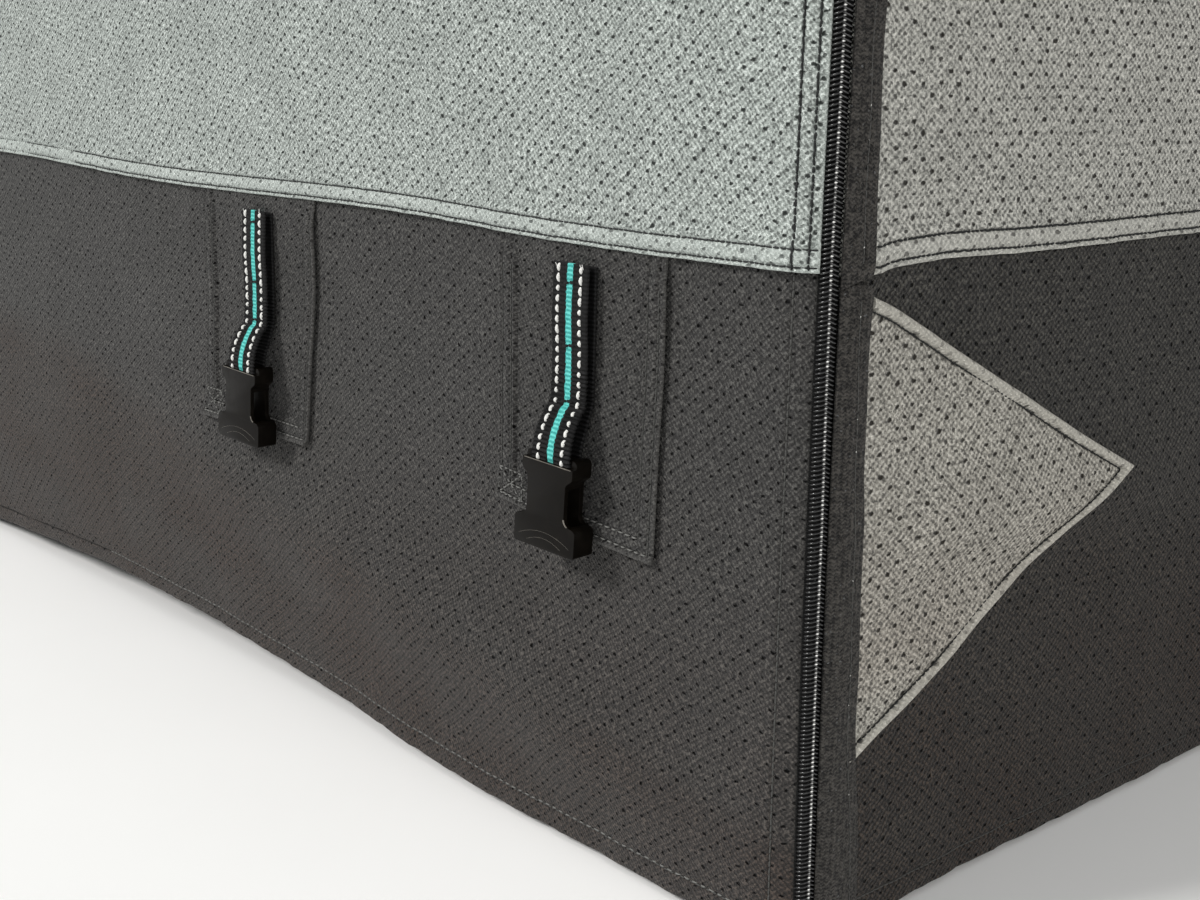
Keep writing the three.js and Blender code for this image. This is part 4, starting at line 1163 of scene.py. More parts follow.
def add_patch(place, number, material, threads):
    """A patch of the band's cloth, its edges turned in and stitched twice."""
    left, right = CORNER_RADIUS - place["left"] * MM, CORNER_RADIUS - place["right"] * MM
    width, top = right - left, SEAM + 2 * MM
    height = top - PATCH_BOTTOM
    edge = np.concatenate([hem_heights(PATCH_ROWS, PATCH_HEM), [18 * MM]])
    across = np.unique(np.concatenate([edge / width, np.linspace(0.2, 0.8, 22), 1 - edge / width]))
    upward = np.unique(np.concatenate([edge / height, np.linspace(0.14, 1, 28)]))
    u, v = across[:, None], upward[None, :]

    def place_at(u, v):
        low = PATCH_BOTTOM + place["rise"] * MM * (1 - u) ** 1.5
        lean = place["lean"] * MM * u**2 * (1 - v) ** 2
        return left + width * u - lean, low + (top - low) * v

    run, z = place_at(u, v)
    inward = np.minimum(np.minimum(u, 1 - u) * width, v * height)
    rise = PATCH_RISE * np.clip((SEAM - 3 * MM - z) / (9 * MM), 0, 1)
    roll = 1.7 * MM * swell(v * height - 1.9 * MM, 1.9 * MM)
    face = PATCH_FACE + hem_profile(inward, PATCH_ROWS, PATCH_HEM, rise=rise) + roll
    outer = wall_point("front", run, z, face)
    narrower, shorter = 1 - 2 * UNDERCUT / width, 1 - UNDERCUT / height
    tucked = place_at(0.5 + (u - 0.5) * narrower, 1 - shorter + v * shorter)
    inner = wall_point("front", *tucked, BAND_FACE - 0.2 * MM)
    # Folded edges and the bottom roll: smoother, and lighter as a painted highlight.
    lay = lay_grid(run, z, number, np.maximum(folded_edge(inward) * 0.7, folded_edge(v * height, 3.6 * MM)))
    piece = cloth_piece("patch_" + place["name"], outer, inner, lay, material)
    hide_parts("strap_patch_" + place["name"])

    def sew(us, vs, thread=threads["grey"], lift=-STITCH_SINK * 0.7, **style):
        line_run, line_z = place_at(us, vs)
        thread.row(*wall_line("front", line_run, line_z, PATCH_FACE + PATCH_RISE + lift), **style)

    for row in PATCH_ROWS:
        in_u, in_v = row / width, row / height
        down, over, along_foot = np.linspace(0.88, in_v, 30), np.full(30, in_u), np.linspace(in_u, 1 - in_u, 30)
        sew(over, down)
        sew(along_foot, np.full(30, in_v), threads["ash"], 0.0, share=0.8, pitch=4.6 * MM)
        sew(1 - over, down[::-1])
    reach = {"left": width, "right": width, "bottom": height, "top": height}
    box = {key: value * MM / reach[key] for key, value in PATCH_BOX.items()}
    left_right = np.linspace(box["left"], box["right"], 10)
    up_down = np.linspace(box["top"], box["bottom"], 10)
    lines = [(left_right, np.full(10, box["top"])), (np.full(10, box["right"]), up_down)]
    lines += [(left_right, up_down), (left_right, up_down[::-1]), (left_right, np.full(10, box["bottom"]))]
    for us, vs in lines:
        sew(us, vs, threads["ash"], 0.45 * MM, share=0.8)
    return piece


# The triangle's folded edges: a smooth roll, and the stitches at its inner side
ROLL_WIDTH = 5.4 * MM
ROLL_RISE = 2.1 * MM
ROLL_ROW = 6.0 * MM


def add_triangle(material, thread):
    """The light triangle: two folded edges that meet at its point, its base under the zip tape."""
    reach = TRIANGLE_APEX - TRIANGLE_BASE
    start = QUARTER + TRIANGLE_BASE - CORNER_RADIUS
    half = (TRIANGLE_TOP - TRIANGLE_BOTTOM) / 2
    tilt = math.atan2(half, reach)
    edge = np.array([0, 0.25, 0.7, 1.4, 2.7, 4.0, 4.8, 5.4, 6.0, 6.8, 8.0]) * MM / math.cos(tilt) / (2 * half)
    v = np.unique(np.concatenate([edge, np.linspace(0.07, 0.93, 60), 1 - edge]))[None, :]
    u = np.concatenate([np.linspace(0, 0.96, 60), [0.97, 0.98, 0.988, 0.994]])[:, None]
    top = TRIANGLE_TOP + (TRIANGLE_MIDDLE - TRIANGLE_TOP) * u
    bottom = TRIANGLE_BOTTOM + (TRIANGLE_MIDDLE - TRIANGLE_BOTTOM) * u
    z = bottom + (top - bottom) * v
    run = start + reach * u + 0 * v
    inward = np.minimum(top - z, z - bottom) * math.cos(tilt)
    wave = 0.5 * MM * np.sin(run / (8.3 * MM)) * np.sin(run / (21 * MM) + 1)
    roll = np.sqrt(np.clip(1 - (2 * inward / ROLL_WIDTH - 1) ** 2, 0, 1))
    face = TRIANGLE_FACE - 0.8 * MM * (inward < ROLL_WIDTH) * (1 - roll) + (ROLL_RISE + wave) * roll
    face = face - STITCH_SINK * crest(inward - ROLL_ROW, 1.2 * MM)
    outer = wall_point("right", run, z, face)
    inner = wall_point("right", run, z, BAND_FACE - 0.2 * MM)
    # The rolls: smoother, and lighter as a painted highlight.
    calm_and_sheen = 0.75 * np.clip((ROLL_WIDTH + 0.4 * MM - inward) / (0.8 * MM), 0, 1)
    lay = lay_grid(run, z, 7, calm_and_sheen)
    piece = cloth_piece("triangle_cloth", outer, inner, lay, material)
    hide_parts("side_triangle")
    drop = ROLL_ROW / math.cos(tilt)
    us = np.linspace(0, 1 - drop / half, 80)
    for sign, corner in ((-1, TRIANGLE_TOP), (1, TRIANGLE_BOTTOM)):
        line_z = corner + (TRIANGLE_MIDDLE - corner) * us + sign * drop
        thread.row(*wall_line("right", start + reach * us, line_z, TRIANGLE_FACE + 0.1 * MM))
    return piece


# The tape's stitch line, from its free edge, and how the seam's tuck draws it in
TAPE_ROW = 6.4 * MM
TUCK_REACH = 6 * MM


def tape_edges(z):
    """Where the tape begins beside the coil and where it ends on the side wall."""
    drop = np.maximum(0, SEAM - z)
    wider = TAPE_WIDENING * (drop / DRIFT_DEPTH) ** 2 + 2.6 * MM * (1 - np.exp(-drop / (45 * MM)))
    wave = 0.4 * MM * np.sin(z / (23 * MM)) + 0.3 * MM * np.sin(z / (9.7 * MM) + 1)
    return TAPE_START + zip_drift(z), QUARTER - TAPE_SHORT_OF_FLAT + 1.9 * MM + wider + wave


def add_tape(name, node, bottom, top, number, material, threads):
    lower = name.endswith("lower")
    near_top = top - np.array([0.4, 1, 1.8, 2.8]) * MM
    heights = np.unique(np.concatenate([spans((bottom, top, 1.7 * MM)), near_top]))
    across = np.unique(np.concatenate([np.linspace(0, 1, 16), [0.02, 0.95, 0.975, 0.99]]))
    u, z = across[:, None], heights[None, :]
    start, end = tape_edges(z)
    run = start + (end - start) * u
    if lower:
        corner = np.clip((u - 0.7) / 0.3, 0, 1)
        z = z - 3.6 * MM * (1 - np.sqrt(1 - corner**2)) * np.clip(1 - (top - z) / (9 * MM), 0, 1)
        tuck = -2.6 * MM * np.clip(1 - (top - z) / TUCK_REACH, 0, 1) ** 2 * (1 - 0.8 * u)
    else:
        z = z - (TAPE_FOLD + 1.5 * MM) * (1 - u) ** 1.5 * np.clip(1 - (z - bottom) / (12 * MM), 0, 1)
        tuck = -1.3 * MM * np.clip(1 - (z - bottom) / TUCK_REACH, 0, 1) ** 2 * u
    bulge = 0.35 * MM * np.sqrt(np.sin(np.pi * np.clip(u, 0.001, 0.999)))
    rib = 0.13 * MM * np.cos(2 * np.pi * (run - start) / (2.6 * MM))
    pull = np.sin(2 * np.pi * z / (5.6 * MM) + 1.3 * np.sin(z / (11 * MM)))
    pull = pull * (0.4 + 0.6 * np.sin(z / (17 * MM)) ** 2)
    crumple = 0.42 * MM * pull * np.exp(-(((end - run - TAPE_ROW) / (5 * MM)) ** 2))
    edge = -0.8 * MM * (np.clip((0.03 - u) / 0.03, 0, 1) + np.clip((u - 0.97) / 0.03, 0, 1))
    stitch = -0.3 * MM * crest(end - run - TAPE_ROW, 1.6 * MM)
    outer = wall_point("right", run, z, TAPE_FACE + bulge + rib + crumple + edge + stitch + tuck)
    inner = wall_point("right", run, z, TAPE_FACE - TAPE_THICKNESS + tuck)
    piece = cloth_piece(name, outer, inner, lay_grid(run, z, number), material)
    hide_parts(node)
    line = dense(bottom + 6 * MM, top - 6 * MM, 4 * MM)
    row = wall_line("right", tape_edges(line)[1] - TAPE_ROW, line, TAPE_FACE + 0.1 * MM)
    threads["grey"].row(*row, thick=0.34 * MM)
    threads["pale"].row(*row, pitch=14.3 * MM, share=0.09, thick=0.22 * MM, wobble=3.0)
    return piece


# One turn of the coil, from its outer edge over the top to past the middle: across, out, up, in millimetres
COIL_TURN = np.array(
    [
        (-4.0, -1.6, -1.0),
        (-4.1, -0.3, -0.95),
        (-3.7, 1.0, -0.75),
        (-2.7, 1.75, -0.4),
        (-1.6, 2.1, 0.05),
        (-0.75, 2.1, 0.42),
        (-0.1, 2.25, 0.7),
        (0.4, 1.85, 0.85),
        (0.8, 1.0, 0.95),
    ]
)
COIL_GIRTH = np.array([0.8, 1, 1, 1, 1, 0.9, 1.15, 1.1, 0.65])
# How bright the painted highlight is at each place of a turn
COIL_GLINT = np.array([0, 0, 0.1, 0.17, 0.2, 0.05, 1.0, 0.6, 0])
# Below the seam the middle of the coil lies nearer to the side wall
MIDDLE_SHIFT = 1.4 * MM
COIL_PITCH = 2.0 * MM
COIL_THREAD = 0.46 * MM
COIL_SIDES = 6


def add_coil(material):
    """The closed zip: turns of a thick filament from both sides that mesh in the middle."""
    turns = int((ZIP_TOP - 3 * MM) / COIL_PITCH)
    base = (np.arange(turns) + 1) * COIL_PITCH
    points, faces, glint = [], [], []
    rings = len(COIL_TURN)
    for mirror in (1, -1):
        across = COIL_TURN[:, 0] * mirror
        heights = base[:, None] + COIL_TURN[None, :, 2] * MM + (COIL_PITCH / 2 if mirror < 0 else 0)
        shift = MIDDLE_SHIFT * np.clip((SEAM - heights) / (110 * MM), 0, 1)
        leaning = shift * (1 - np.abs(across) / 4.6)[None, :]
        run = ZIP_ARC + across[None, :] * MM + leaning + zip_drift(heights)
        flat, outs = outline(run)
        out = np.concatenate([outs, np.zeros(outs.shape[:2] + (1,))], -1)
        centre = np.concatenate([flat, heights[..., None]], -1) + out * (COIL_TURN[None, :, 1:2] * MM)
        forward = np.gradient(centre, axis=1)
        forward /= np.linalg.norm(forward, axis=2, keepdims=True)
        up = np.array([0, 0, 1.0])
        side = np.cross(forward, up)
        side /= np.linalg.norm(side, axis=2, keepdims=True)
        lift = np.cross(side, forward)
        girth = COIL_GIRTH * COIL_THREAD
        glint_chance = rng.uniform(0.45, 1.0, (turns, 1))
        for k in range(COIL_SIDES):
            angle = 2 * math.pi * k / COIL_SIDES
            # Painted highlight: brightest on the faces that turn towards the key light's reflection, weaker on
            # the other side's turns, and random from turn to turn.
            facing = max(0.0, 0.85 * mirror * math.cos(angle) + 0.53 * math.sin(angle)) ** 2
            glint.append((glint_chance * COIL_GLINT[None, :] * facing * (1.0 if mirror > 0 else 0.35)).reshape(-1))
            points.append(
                centre
                + side * (math.cos(angle) * girth)[None, :, None]
                + lift * (math.sin(angle) * 1.1 * girth)[None, :, None]
            )
    count = turns * rings
    number = np.arange(count).reshape(turns, rings)
    for half in range(2):
        sheets = [number + (half * COIL_SIDES + k) * count for k in range(COIL_SIDES)]
        for k in range(COIL_SIDES):
            a, b = sheets[k], sheets[(k + 1) % COIL_SIDES]
            quads = np.stack([a[:, :-1], b[:, :-1], b[:, 1:], a[:, 1:]], -1).reshape(-1, 4)
            faces += quads.tolist()
        for end in (0, rings - 1):
            caps = np.stack([sheet[:, end] for sheet in sheets], -1)
            faces += (caps[:, ::-1] if end == 0 else caps).tolist()
    all_points = np.concatenate([p.reshape(-1, 3) for p in points])
    lay = np.stack([all_points[:, 0], all_points[:, 2], np.concatenate(glint)], -1)
    piece = new_piece("zip_turns", all_points, faces, material, lay, sharp=180)
    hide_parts("zip_coil")
    return piece


def add_coil_base(material):
    """The strip that carries the coil and closes the corner behind it; its near-black colour is painted shade
    behind the coil.
    """
    heights = spans((0.5 * MM, ZIP_TOP, 12 * MM))
    across = np.linspace(-9 * MM, 8 * MM, 9)
    run, z = across[:, None] + ZIP_ARC, heights[None, :]
    run = run + zip_drift(z)
    flat, outs = outline(run)

    def at(depth):
        return np.concatenate([flat + outs * depth, np.broadcast_to(z, run.shape)[..., None]], -1)

    front = np.where(np.abs(across) < 5.4 * MM, -1.9 * MM, -4.4 * MM)[:, None, None]
    piece = cloth_piece("zip_base", at(front), at(-5.6 * MM), lay_grid(run, z, 4), material)
    return piece


# Straps and buckles

WEB_WIDTH, WEB_THICKNESS = 25.0, 1.8
STRAP_TOP, STRAP_BEND, STRAP_FACE = 308 - 11, 308 - 76.5, 7.4
BUCKLE_TOP, BUCKLE_LENGTH, BUCKLE_DEPTH, STAND_OFF = 308 - 101.5, 47.0, 13.0, 7.0
BUCKLE_TURN, BUCKLE_ROLL = math.radians(4), math.radians(3)
BAR_DEPTH, BAR_HEIGHT, SLOT_HEIGHT, SLOT_HALF = 5.0, 2.7, 2.8, 13.1
FRONT_TOP, PLATE_BACK, CHEEK_SET_BACK = 3.6, 10.6, 3.0
BAR_HALF, WAIST_HALF, MOUTH_HALF = 16.8, 12.6, 20.4
BUCKLE_GAP = 0.3


def buckle_matrix(place):
    """Buckle frame, in millimetres: x to the far end of the wall, y down, z out of the wall."""
    stand = Matrix(((-1, 0, 0), (0, 0, -1), (0, -1, 0)))
    turn = Matrix.Rotation(BUCKLE_TURN, 3, "Z") @ Matrix.Rotation(BUCKLE_ROLL, 3, "Y") @ stand
    wall_y = -LENGTH / 2 - PATCH_FACE - STAND_OFF * MM
    spot = Vector((WIDTH / 2 - place["strap"] * MM, wall_y, BUCKLE_TOP * MM))
    return Matrix.Translation(spot) @ turn.to_4x4() @ Matrix.Diagonal((MM, MM, MM, 1))


def strap_route():
    """Out from the patch, height, and share of the buckle's turn, in millimetres."""
    bar_front = STAND_OFF + BUCKLE_DEPTH / 2 + BAR_DEPTH / 2
    bar_back = bar_front - BAR_DEPTH
    half = WEB_THICKNESS / 2
    front, back = bar_front + BUCKLE_GAP + half, bar_back - BUCKLE_GAP - half
    turn_z = BUCKLE_TOP - BAR_HEIGHT - BUCKLE_GAP - half
    face, wall = STRAP_FACE - half, BUCKLE_GAP + half
    return np.array(
        [
            (face - 0.6, STRAP_TOP, 0),
            (face + 0.2, STRAP_TOP - 25, 0),
            (face - 0.4, STRAP_BEND + 22, 0),
            (face + 0.2, STRAP_BEND, 0),
            (face + 3.0, STRAP_BEND - 4.5, 0.12),
            (face + 7.0, STRAP_BEND - 10.5, 0.45),
            (front - 0.4, STRAP_BEND - 18, 0.85),
            (front + 0.4, BUCKLE_TOP - 0.4, 1),
            (front, turn_z + 1, 1),
            (front - 1, turn_z, 1),
            (back + 1, turn_z, 1),
            (back, turn_z + 1, 1),
            (back, BUCKLE_TOP + 0.4, 1),
            (back - 1, STRAP_BEND - 18, 0.85),
            (wall + 4, STRAP_BEND - 10, 0.4),
            (wall + 0.6, STRAP_BEND - 1, 0),
            (wall, STRAP_BEND + 8, 0),
            (wall, STRAP_TOP - 1, 0),
        ]
    )


def smooth_route(route, step=0.55):
    """A rounded line through a route's points, evenly divided."""
    ends = np.vstack([2 * route[0] - route[1], route, 2 * route[-1] - route[-2]])
    fine = []
    for p0, p1, p2, p3 in zip(ends, ends[1:], ends[2:], ends[3:]):
        for t in np.linspace(0, 1, 12, endpoint=False):
            fine.append(
                0.5
                * (
                    2 * p1
                    + (p2 - p0) * t
                    + (2 * p0 - 5 * p1 + 4 * p2 - p3) * t**2
                    + (3 * p1 - p0 - 3 * p2 + p3) * t**3
                )
            )
    fine = np.array(fine + [route[-1]])
    travelled = np.concatenate([[0], np.cumsum(np.linalg.norm(np.diff(fine[:, :2], axis=0), axis=1))])
    even = np.linspace(0, travelled[-1], int(travelled[-1] / step))
    return np.stack([np.interp(even, travelled, fine[:, k]) for k in range(3)], -1), even


def strap_surface(place, route, across, depth):
    """Points of the webbing: across it, and depth from its middle towards its face, in millimetres."""
    heading = np.gradient(route[:, :2], axis=0)
    heading /= np.linalg.norm(heading, axis=1, keepdims=True)
    normal = np.stack([-heading[:, 1], heading[:, 0]], -1)
    out = route[:, 0][None, :] + depth * normal[:, 0][None, :]
    z = route[:, 1][None, :] + depth * normal[:, 1][None, :]
    across = np.broadcast_to(across, out.shape)
    wall_x = WIDTH / 2 - place["strap"] * MM
    wall_y = -LENGTH / 2 - PATCH_FACE
    flat = np.stack([wall_x - across * MM, wall_y - out * MM, z * MM], -1)
    local = np.stack([across, BUCKLE_TOP - z, out - STAND_OFF, np.ones(out.shape)], -1)
    turned = local @ np.array(buckle_matrix(place)).T
    share = route[:, 2][None, :, None]
    return flat * (1 - share) + turned[..., :3] * share


DASH_LINE = 7.9
DASH_PITCH = 4.9 * MM
CROSS_STITCHES = {"near": (-19.7, -49.6, -76.9), "far": (-17.6, -53.1, -75.3)}
CROSS_HALF = 4.2


def add_strap(place, material, white, black):
    """A strap folded round the buckle's bar, with its dashes and its cross stitches."""
    route, along = smooth_route(strap_route())
    half_width = WEB_WIDTH / 2
    across = np.concatenate([np.linspace(-half_width, half_width, 43), [-half_width + 0.15, half_width - 0.15]])
    across = np.unique(across)[:, None]
    edge = np.clip((half_width - np.abs(across)) / 0.6, 0.2, 1)
    bent = np.clip((SEAM / MM - 52 - route[:, 1]) / 14, 0, 1)
    crease = np.cos(2 * np.pi * along / (PICK_PITCH / MM) + 0.8 * np.sin(along / 3.1))
    ribs = ((0.14 + 0.42 * bent) * crease)[None, :] * np.clip((np.abs(across) - TEAL_HALF / MM) / 1.5, 0.15, 1)
    thickness = WEB_THICKNESS / 2 * edge + ribs + 0.08 * np.cos(2 * np.pi * across / (RIB_PITCH / MM))
    front = strap_surface(place, route, -across, thickness)
    back = strap_surface(place, route, -across, -thickness)
    lay = np.stack(np.broadcast_arrays(across * MM, along[None, :] * MM, 0.0), -1)
    piece = cloth_piece("webbing_" + place["name"], front, back, lay, material)
    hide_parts("strap_" + place["name"])

    def face_line(across, lift=0.0):
        return strap_surface(place, route, np.full((1, 1), across), WEB_THICKNESS / 2 + lift)[0]

    outs = face_line(0.0, 1.0) - face_line(0.0)
    outs /= np.linalg.norm(outs, axis=1, keepdims=True)
    for sign in (-1, 1):
        line = face_line(sign * DASH_LINE, 0.05)
        white.row(line, outs, pitch=DASH_PITCH, share=0.80, thick=0.92 * MM, shape=BEAD, wobble=1.6)
    for height in CROSS_STITCHES[place["name"]]:
        index = int(np.argmin(np.abs(route[: len(route) // 2, 1] - (SEAM / MM + height))))
        places = np.linspace(-CROSS_HALF, CROSS_HALF, 9)
        row = np.array([face_line(value, 0.1)[index + int(value > 0)] for value in places])
        row_outs = np.repeat(outs[index : index + 1], len(row), 0)
        black.row(row, row_outs, pitch=4.2 * MM, share=1.0, thick=0.8 * MM)
    return piece


def loose_ends(place, thread_points):
    """Short white thread ends that stand up from the cut top of a strap."""
    wall_x = WIDTH / 2 - place["strap"] * MM
    wall_y = -LENGTH / 2 - PATCH_FACE - STRAP_FACE * MM
    for across in (-9.2, 8.0, 9.4):
        length = rng.uniform(1.5, 3.5)
        lean = rng.uniform(-1.5, 1.5)
        t = np.linspace(0, 1, 6)
        x = wall_x + (across + lean * t**2) * MM
        y = wall_y + (0.3 - 0.8 * t) * MM
        z = (STRAP_TOP - 2 + length * t) * MM
        thread_points.append((np.stack([x, y, z], -1), 0.15 * MM))
    return thread_points


def tube(points, radius, sides=5):
    forward = np.gradient(points, axis=0)
    forward /= np.linalg.norm(forward, axis=1, keepdims=True)
    side = np.cross(forward, (0.1, 1.0, 0.05))
    side /= np.linalg.norm(side, axis=1, keepdims=True)
    lift = np.cross(side, forward)
    rings = []
    for k in range(sides):
        angle = 2 * math.pi * k / sides
        rings.append(points + radius * (math.cos(angle) * side + math.sin(angle) * lift))
    vertices = np.stack(rings, 1).reshape(-1, 3)
    faces = []
    for i in range(len(points) - 1):
        for k in range(sides):
            n = (k + 1) % sides
            faces.append((i * sides + k, i * sides + n, (i + 1) * sides + n, (i + 1) * sides + k))
    faces.append(tuple(reversed(range(sides))))
    faces.append(tuple(range((len(points) - 1) * sides, len(points) * sides)))
    return vertices, faces


def add_loose_ends(material):
    lines = []
    for place in STRAPS:
        loose_ends(place, lines)
    points, faces, count = [], [], 0
    for line, radius in lines:
        vertices, some = tube(line, radius)
        points.append(vertices)
        faces += [tuple(v + count for v in face) for face in some]
        count += len(vertices)
    points = np.concatenate(points)
    return new_piece("strap_thread_ends", points, faces, material, np.zeros(points.shape))


def arc_points(centre, radius, start, end, count=6):
    angles = np.radians(np.linspace(start, end, count))
    return [(centre[0] + radius * math.cos(a), centre[1] + radius * math.sin(a)) for a in angles]


def prism(name, outline_points, low, high):
    """A solid from an outline in x and y between two depths."""
    count = len(outline_points)
    points = [(x, y, z) for z in (low, high) for x, y in outline_points]
    faces = [tuple(reversed(range(count))), tuple(range(count, 2 * count))]
    faces += [(i, (i + 1) % count, (i + 1) % count + count, i + count) for i in range(count)]
    mesh = bpy.data.meshes.new(name)
    mesh.from_pydata(points, [], faces)
    piece = bpy.data.objects.new(name, mesh)
    bpy.context.scene.collection.objects.link(piece)
    return piece


def box_outline(x0, x1, y0, y1):
    return [(x0, y0), (x1, y0), (x1, y1), (x0, y1)]


def cut_from(body, cutter):
    modifier = body.modifiers.new("cut", "BOOLEAN")
    modifier.operation = "DIFFERENCE"
    modifier.solver = "EXACT"
    modifier.object = cutter


def applied(piece):
    """The piece's mesh with its modifiers taken in."""
    graph = bpy.context.evaluated_depsgraph_get()
    mesh = bpy.data.meshes.new_from_object(piece.evaluated_get(graph))
    piece.modifiers.clear()
    piece.data = mesh
    return mesh


def buckle_outline():
    """The socket's outline, x outwards and y down: head, waist, flared mouth."""
    half = [(0, 0)]
    half += arc_points((BAR_HALF - 2.6, 2.6), 2.6, -90, 0, 7)
    half += arc_points((BAR_HALF - 3.0, 7.4), 3.0, 0, 42, 5)
    half += arc_points((WAIST_HALF + 3.4, 13.6), 3.4, 222, 180, 5)
    half += [(WAIST_HALF, 27.6)]
    half += arc_points((WAIST_HALF + 4.2, 28.2), 4.2, 180, 112, 7)
    half += arc_points((MOUTH_HALF - 2.6, 35.2), 2.6, -76, 0, 7)
    half += arc_points((MOUTH_HALF - 1.5, BUCKLE_LENGTH - 1.5), 1.5, 0, 90, 5)
    return half + [(-x, y) for x, y in reversed(half) if x > 0]


def add_buckle(place, material, highlight_material):
    """Socket half of a side-release buckle: bar, slot, open waist windows, hollow mouth."""
    name = "socket_" + place["name"]
    body = prism(name, buckle_outline(), 0, BUCKLE_DEPTH)
    middle = BUCKLE_DEPTH / 2
    back, front = middle - BAR_DEPTH / 2, middle + BAR_DEPTH / 2
    slot_end = BAR_HEIGHT + SLOT_HEIGHT
    wide = 2 * MOUTH_HALF
    inside = BAR_HALF - 2.0
    cutters = [
        # the slot before the bar, open above the front plate
        (box_outline(-SLOT_HALF, SLOT_HALF, -2, slot_end), front, PLATE_BACK),
        (box_outline(-wide, wide, -2, FRONT_TOP), BUCKLE_DEPTH - CHEEK_SET_BACK, BUCKLE_DEPTH + 2),
        (box_outline(-inside, inside, -2, FRONT_TOP), PLATE_BACK - 0.2, BUCKLE_DEPTH + 2),
        (box_outline(-SLOT_HALF, SLOT_HALF, -2, slot_end), -2, back),
        (box_outline(-SLOT_HALF, SLOT_HALF, BAR_HEIGHT, slot_end), -2, PLATE_BACK),
        (box_outline(-15.5, 15.5, 15, BUCKLE_LENGTH + 2), middle - 4, middle + 4),
        # windows for the release arms
        (box_outline(9.2, wide, 14.5, 30.5), middle - 3.9, middle + 3.7),
        (box_outline(-wide, -9.2, 14.5, 30.5), middle - 3.9, middle + 3.7),
    ]
    made = []
    for k, (shape, low, high) in enumerate(cutters):
        cutter = prism(f"cutter_{k}", shape, low, high)
        made.append(cutter)
        cut_from(body, cutter)
    applied(body)
    for cutter in made:
        bpy.data.objects.remove(cutter)
    bevel = body.modifiers.new("edges", "BEVEL")
    bevel.width = 0.6
    bevel.segments = 3
    bevel.limit_method = "ANGLE"
    bevel.angle_limit = math.radians(40)
    mesh = applied(body)
    mesh.transform(buckle_matrix(place))
    mesh.polygons.foreach_set("use_smooth", np.ones(len(mesh.polygons), bool))
    mesh.set_sharp_from_angle(angle=math.radians(35))
    mesh.materials.clear()
    mesh.materials.append(material)
    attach(body, "root")
    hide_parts("buckle_" + place["name"])
    add_buckle_lines(place, highlight_material)


def add_buckle_lines(place, material):
    """Painted highlights as bright lines: along the front plate's top, round one shoulder, and along two moulded
    arcs.
    """
    t = np.linspace(0, 1, 17)
    full = BUCKLE_DEPTH - 0.12
    shoulder = np.array(arc_points((WAIST_HALF + 4.2, 28.2), 4.2, 172, 112, 17))
    arcs = [(42.6 - 4.2 * (1 - (2 * t - 1) ** 2), 17.0), (44.6 - 3.0 * (1 - (2 * t - 1) ** 2), 11.5)]
    lines = [
        (np.linspace(-BAR_HALF + 1.2, BAR_HALF - 1.2, 17), FRONT_TOP + 0.2 + 0 * t, full, 0.24),
        (0.2 - shoulder[:, 0], shoulder[:, 1], full, 0.34),
    ]
    lines += [(reach * (2 * t - 1), down, full + 0.06, 0.09) for down, reach in arcs]
    points, faces, count = [], [], 0
    matrix = np.array(buckle_matrix(place))
    for across, down, depth, radius in lines:
        local = np.stack([across, down, np.full(17, depth), np.ones(17)], -1)
        vertices, some = tube((local @ matrix.T)[:, :3], radius * MM, 6)
        points.append(vertices)
        faces += [tuple(v + count for v in face) for face in some]
        count += len(vertices)
    return new_piece("socket_highlights_" + place["name"], np.concatenate(points), faces, material)


# The scene

make_camera()
make_light()

light = needled_cloth("light_cloth_front", **LIGHT, lattice=FRONT_LATTICE, grit=1.25)
light_side = needled_cloth("light_cloth_side", **LIGHT_SIDE, lattice=SIDE_LATTICE, grit=1.6, dimple=WIDE_DIMPLE)
light_triangle = needled_cloth(
    "light_cloth_triangle",
    **LIGHT_TRIANGLE,
    lattice=SIDE_LATTICE,
    painted_shade=0.35,
    grit=1.7,
    dimple=WIDE_DIMPLE,
    painted_shade_foot=0.12,
)
dark = needled_cloth("dark_cloth_front", **DARK, lattice=FRONT_LATTICE, painted_shade=1.0, grit=1.3, slant=0.175)
dark_patch = needled_cloth("dark_cloth_patch", **DARK, lattice=PATCH_LATTICE, grit=1.3)
# Painted shade: the side's dark cloth is a darker copy of the front's.
dark_side_shaded = needled_cloth(
    "dark_cloth_side_shaded", **DARK_SIDE_SHADED, lattice=SIDE_LATTICE, painted_shade=1.0, gloss=0.2, grit=1.7, dimple=WIDE_DIMPLE
)
dark_thread = thread_material("charcoal_thread", linear(26, 28, 28))
grey_thread = thread_material("grey_thread", linear(74, 74, 72))
ash_thread = thread_material("ash_thread", linear(118, 118, 115))
white_thread = thread_material("white_thread", linear(236, 236, 232))
black_thread = thread_material("black_thread", linear(12, 12, 13))
tape = tape_material("zip_tape_weave", linear(5, 4, 4), linear(77, 74, 70))
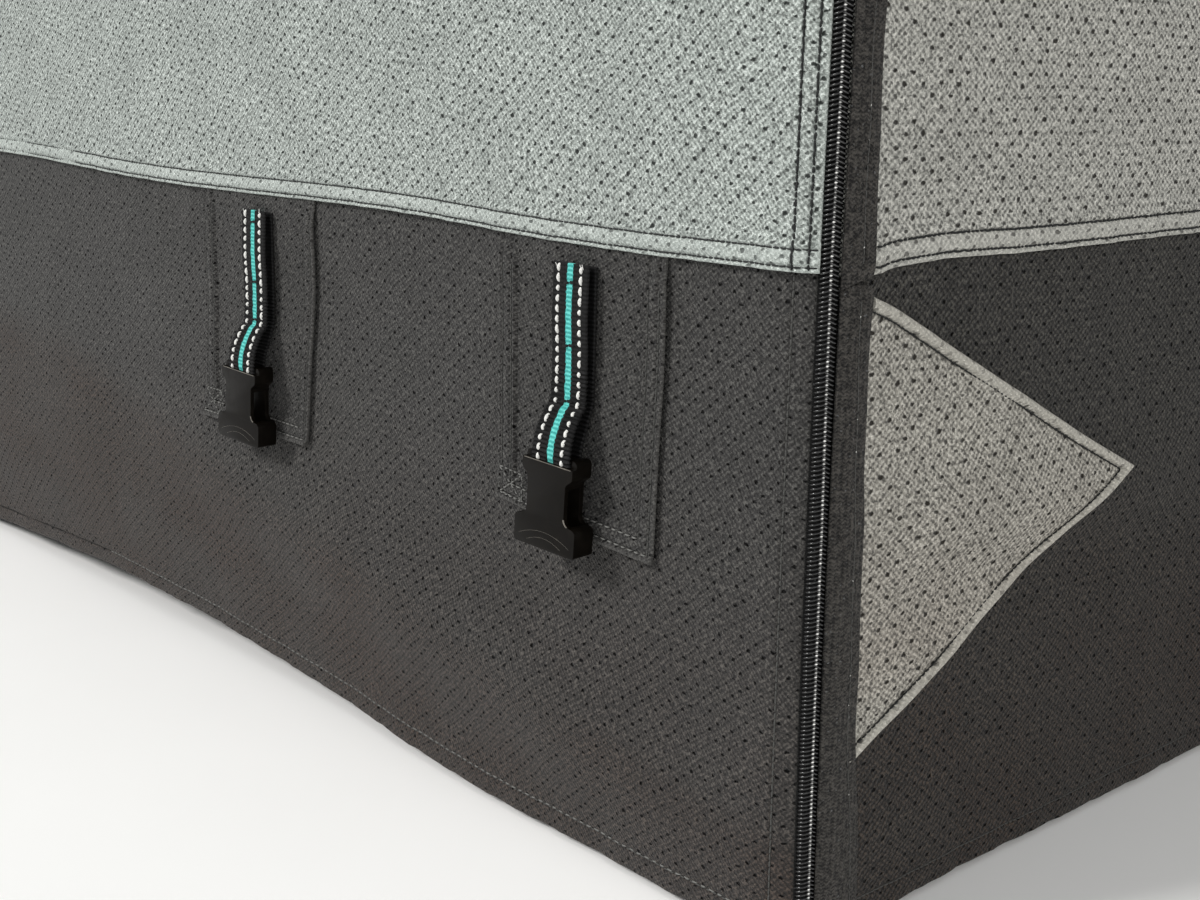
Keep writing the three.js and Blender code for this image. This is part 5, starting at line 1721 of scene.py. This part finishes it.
# Near-black copy of the tape: painted shade behind the coil
tape_in_shade = tape_material("zip_tape_painted_shade", linear(2, 2, 2), linear(12, 12, 12))
webbing = webbing_material()
coil_plastic = coil_material()
buckle_plastic = plastic_material("buckle_acetal", linear(8, 6, 4), 0.3, shine=0.12)
# Light plastic for the painted highlights on the buckles' edges
highlight_plastic = plastic_material("buckle_painted_highlight", linear(88, 84, 77), 0.25)

threads = {
    "dark": Thread("stitches_on_light", dark_thread, "dark_cloth"),
    "grey": Thread("stitches_on_dark", grey_thread, "dark_cloth"),
    "ash": Thread("stitches_ash", ash_thread, "dark_cloth"),
    "far": Thread("stitches_far", dark_thread, "dark_cloth"),
    "pale": Thread("stitches_pale", white_thread, "webbing"),
    "dashes": Thread("strap_dashes", white_thread, "webbing"),
    "bars": Thread("strap_bars", black_thread, "webbing"),
}

sheets = []
for number, side in enumerate(SIDES):
    upper, lower = (light_side, dark_side_shaded) if side in ("right", "left") else (light, dark)
    sheets += add_wall(side, number, {True: upper, False: lower})
    add_wall_stitches(side, threads)
add_corner_stitches(threads)
roof = add_roof(light, threads)
patches = [add_patch(place, 9 + k, dark_patch, threads) for k, place in enumerate(STRAPS)]
triangle = add_triangle(light_triangle, threads["dark"])
add_tape("tape_upper", "zip_tape_upper", SEAM - 1 * MM, ZIP_TOP, 2, tape, threads)
add_tape("tape_lower", "zip_tape_lower", 0.0, SEAM - 1 * MM - TAPE_FOLD, 3, tape, threads)
add_coil(coil_plastic)
add_coil_base(tape_in_shade)
for place in STRAPS:
    add_strap(place, webbing, threads["dashes"], threads["bars"])
    add_buckle(place, buckle_plastic, highlight_plastic)
add_loose_ends(white_thread)
for thread in threads.values():
    thread.finish()

FLOOR_HALF, FLOOR_LEVEL = 14, -0.004
floor_mesh = bpy.data.meshes.new("floor")
corners = [(x * FLOOR_HALF, y * FLOOR_HALF, FLOOR_LEVEL) for x, y in ((-1, -1), (1, -1), (1, 1), (-1, 1))]
floor_mesh.from_pydata(corners, [], [(0, 1, 2, 3)])
floor = bpy.data.objects.new("floor", floor_mesh)
floor_mesh.materials.append(floor_material())
bpy.context.scene.collection.objects.link(floor)
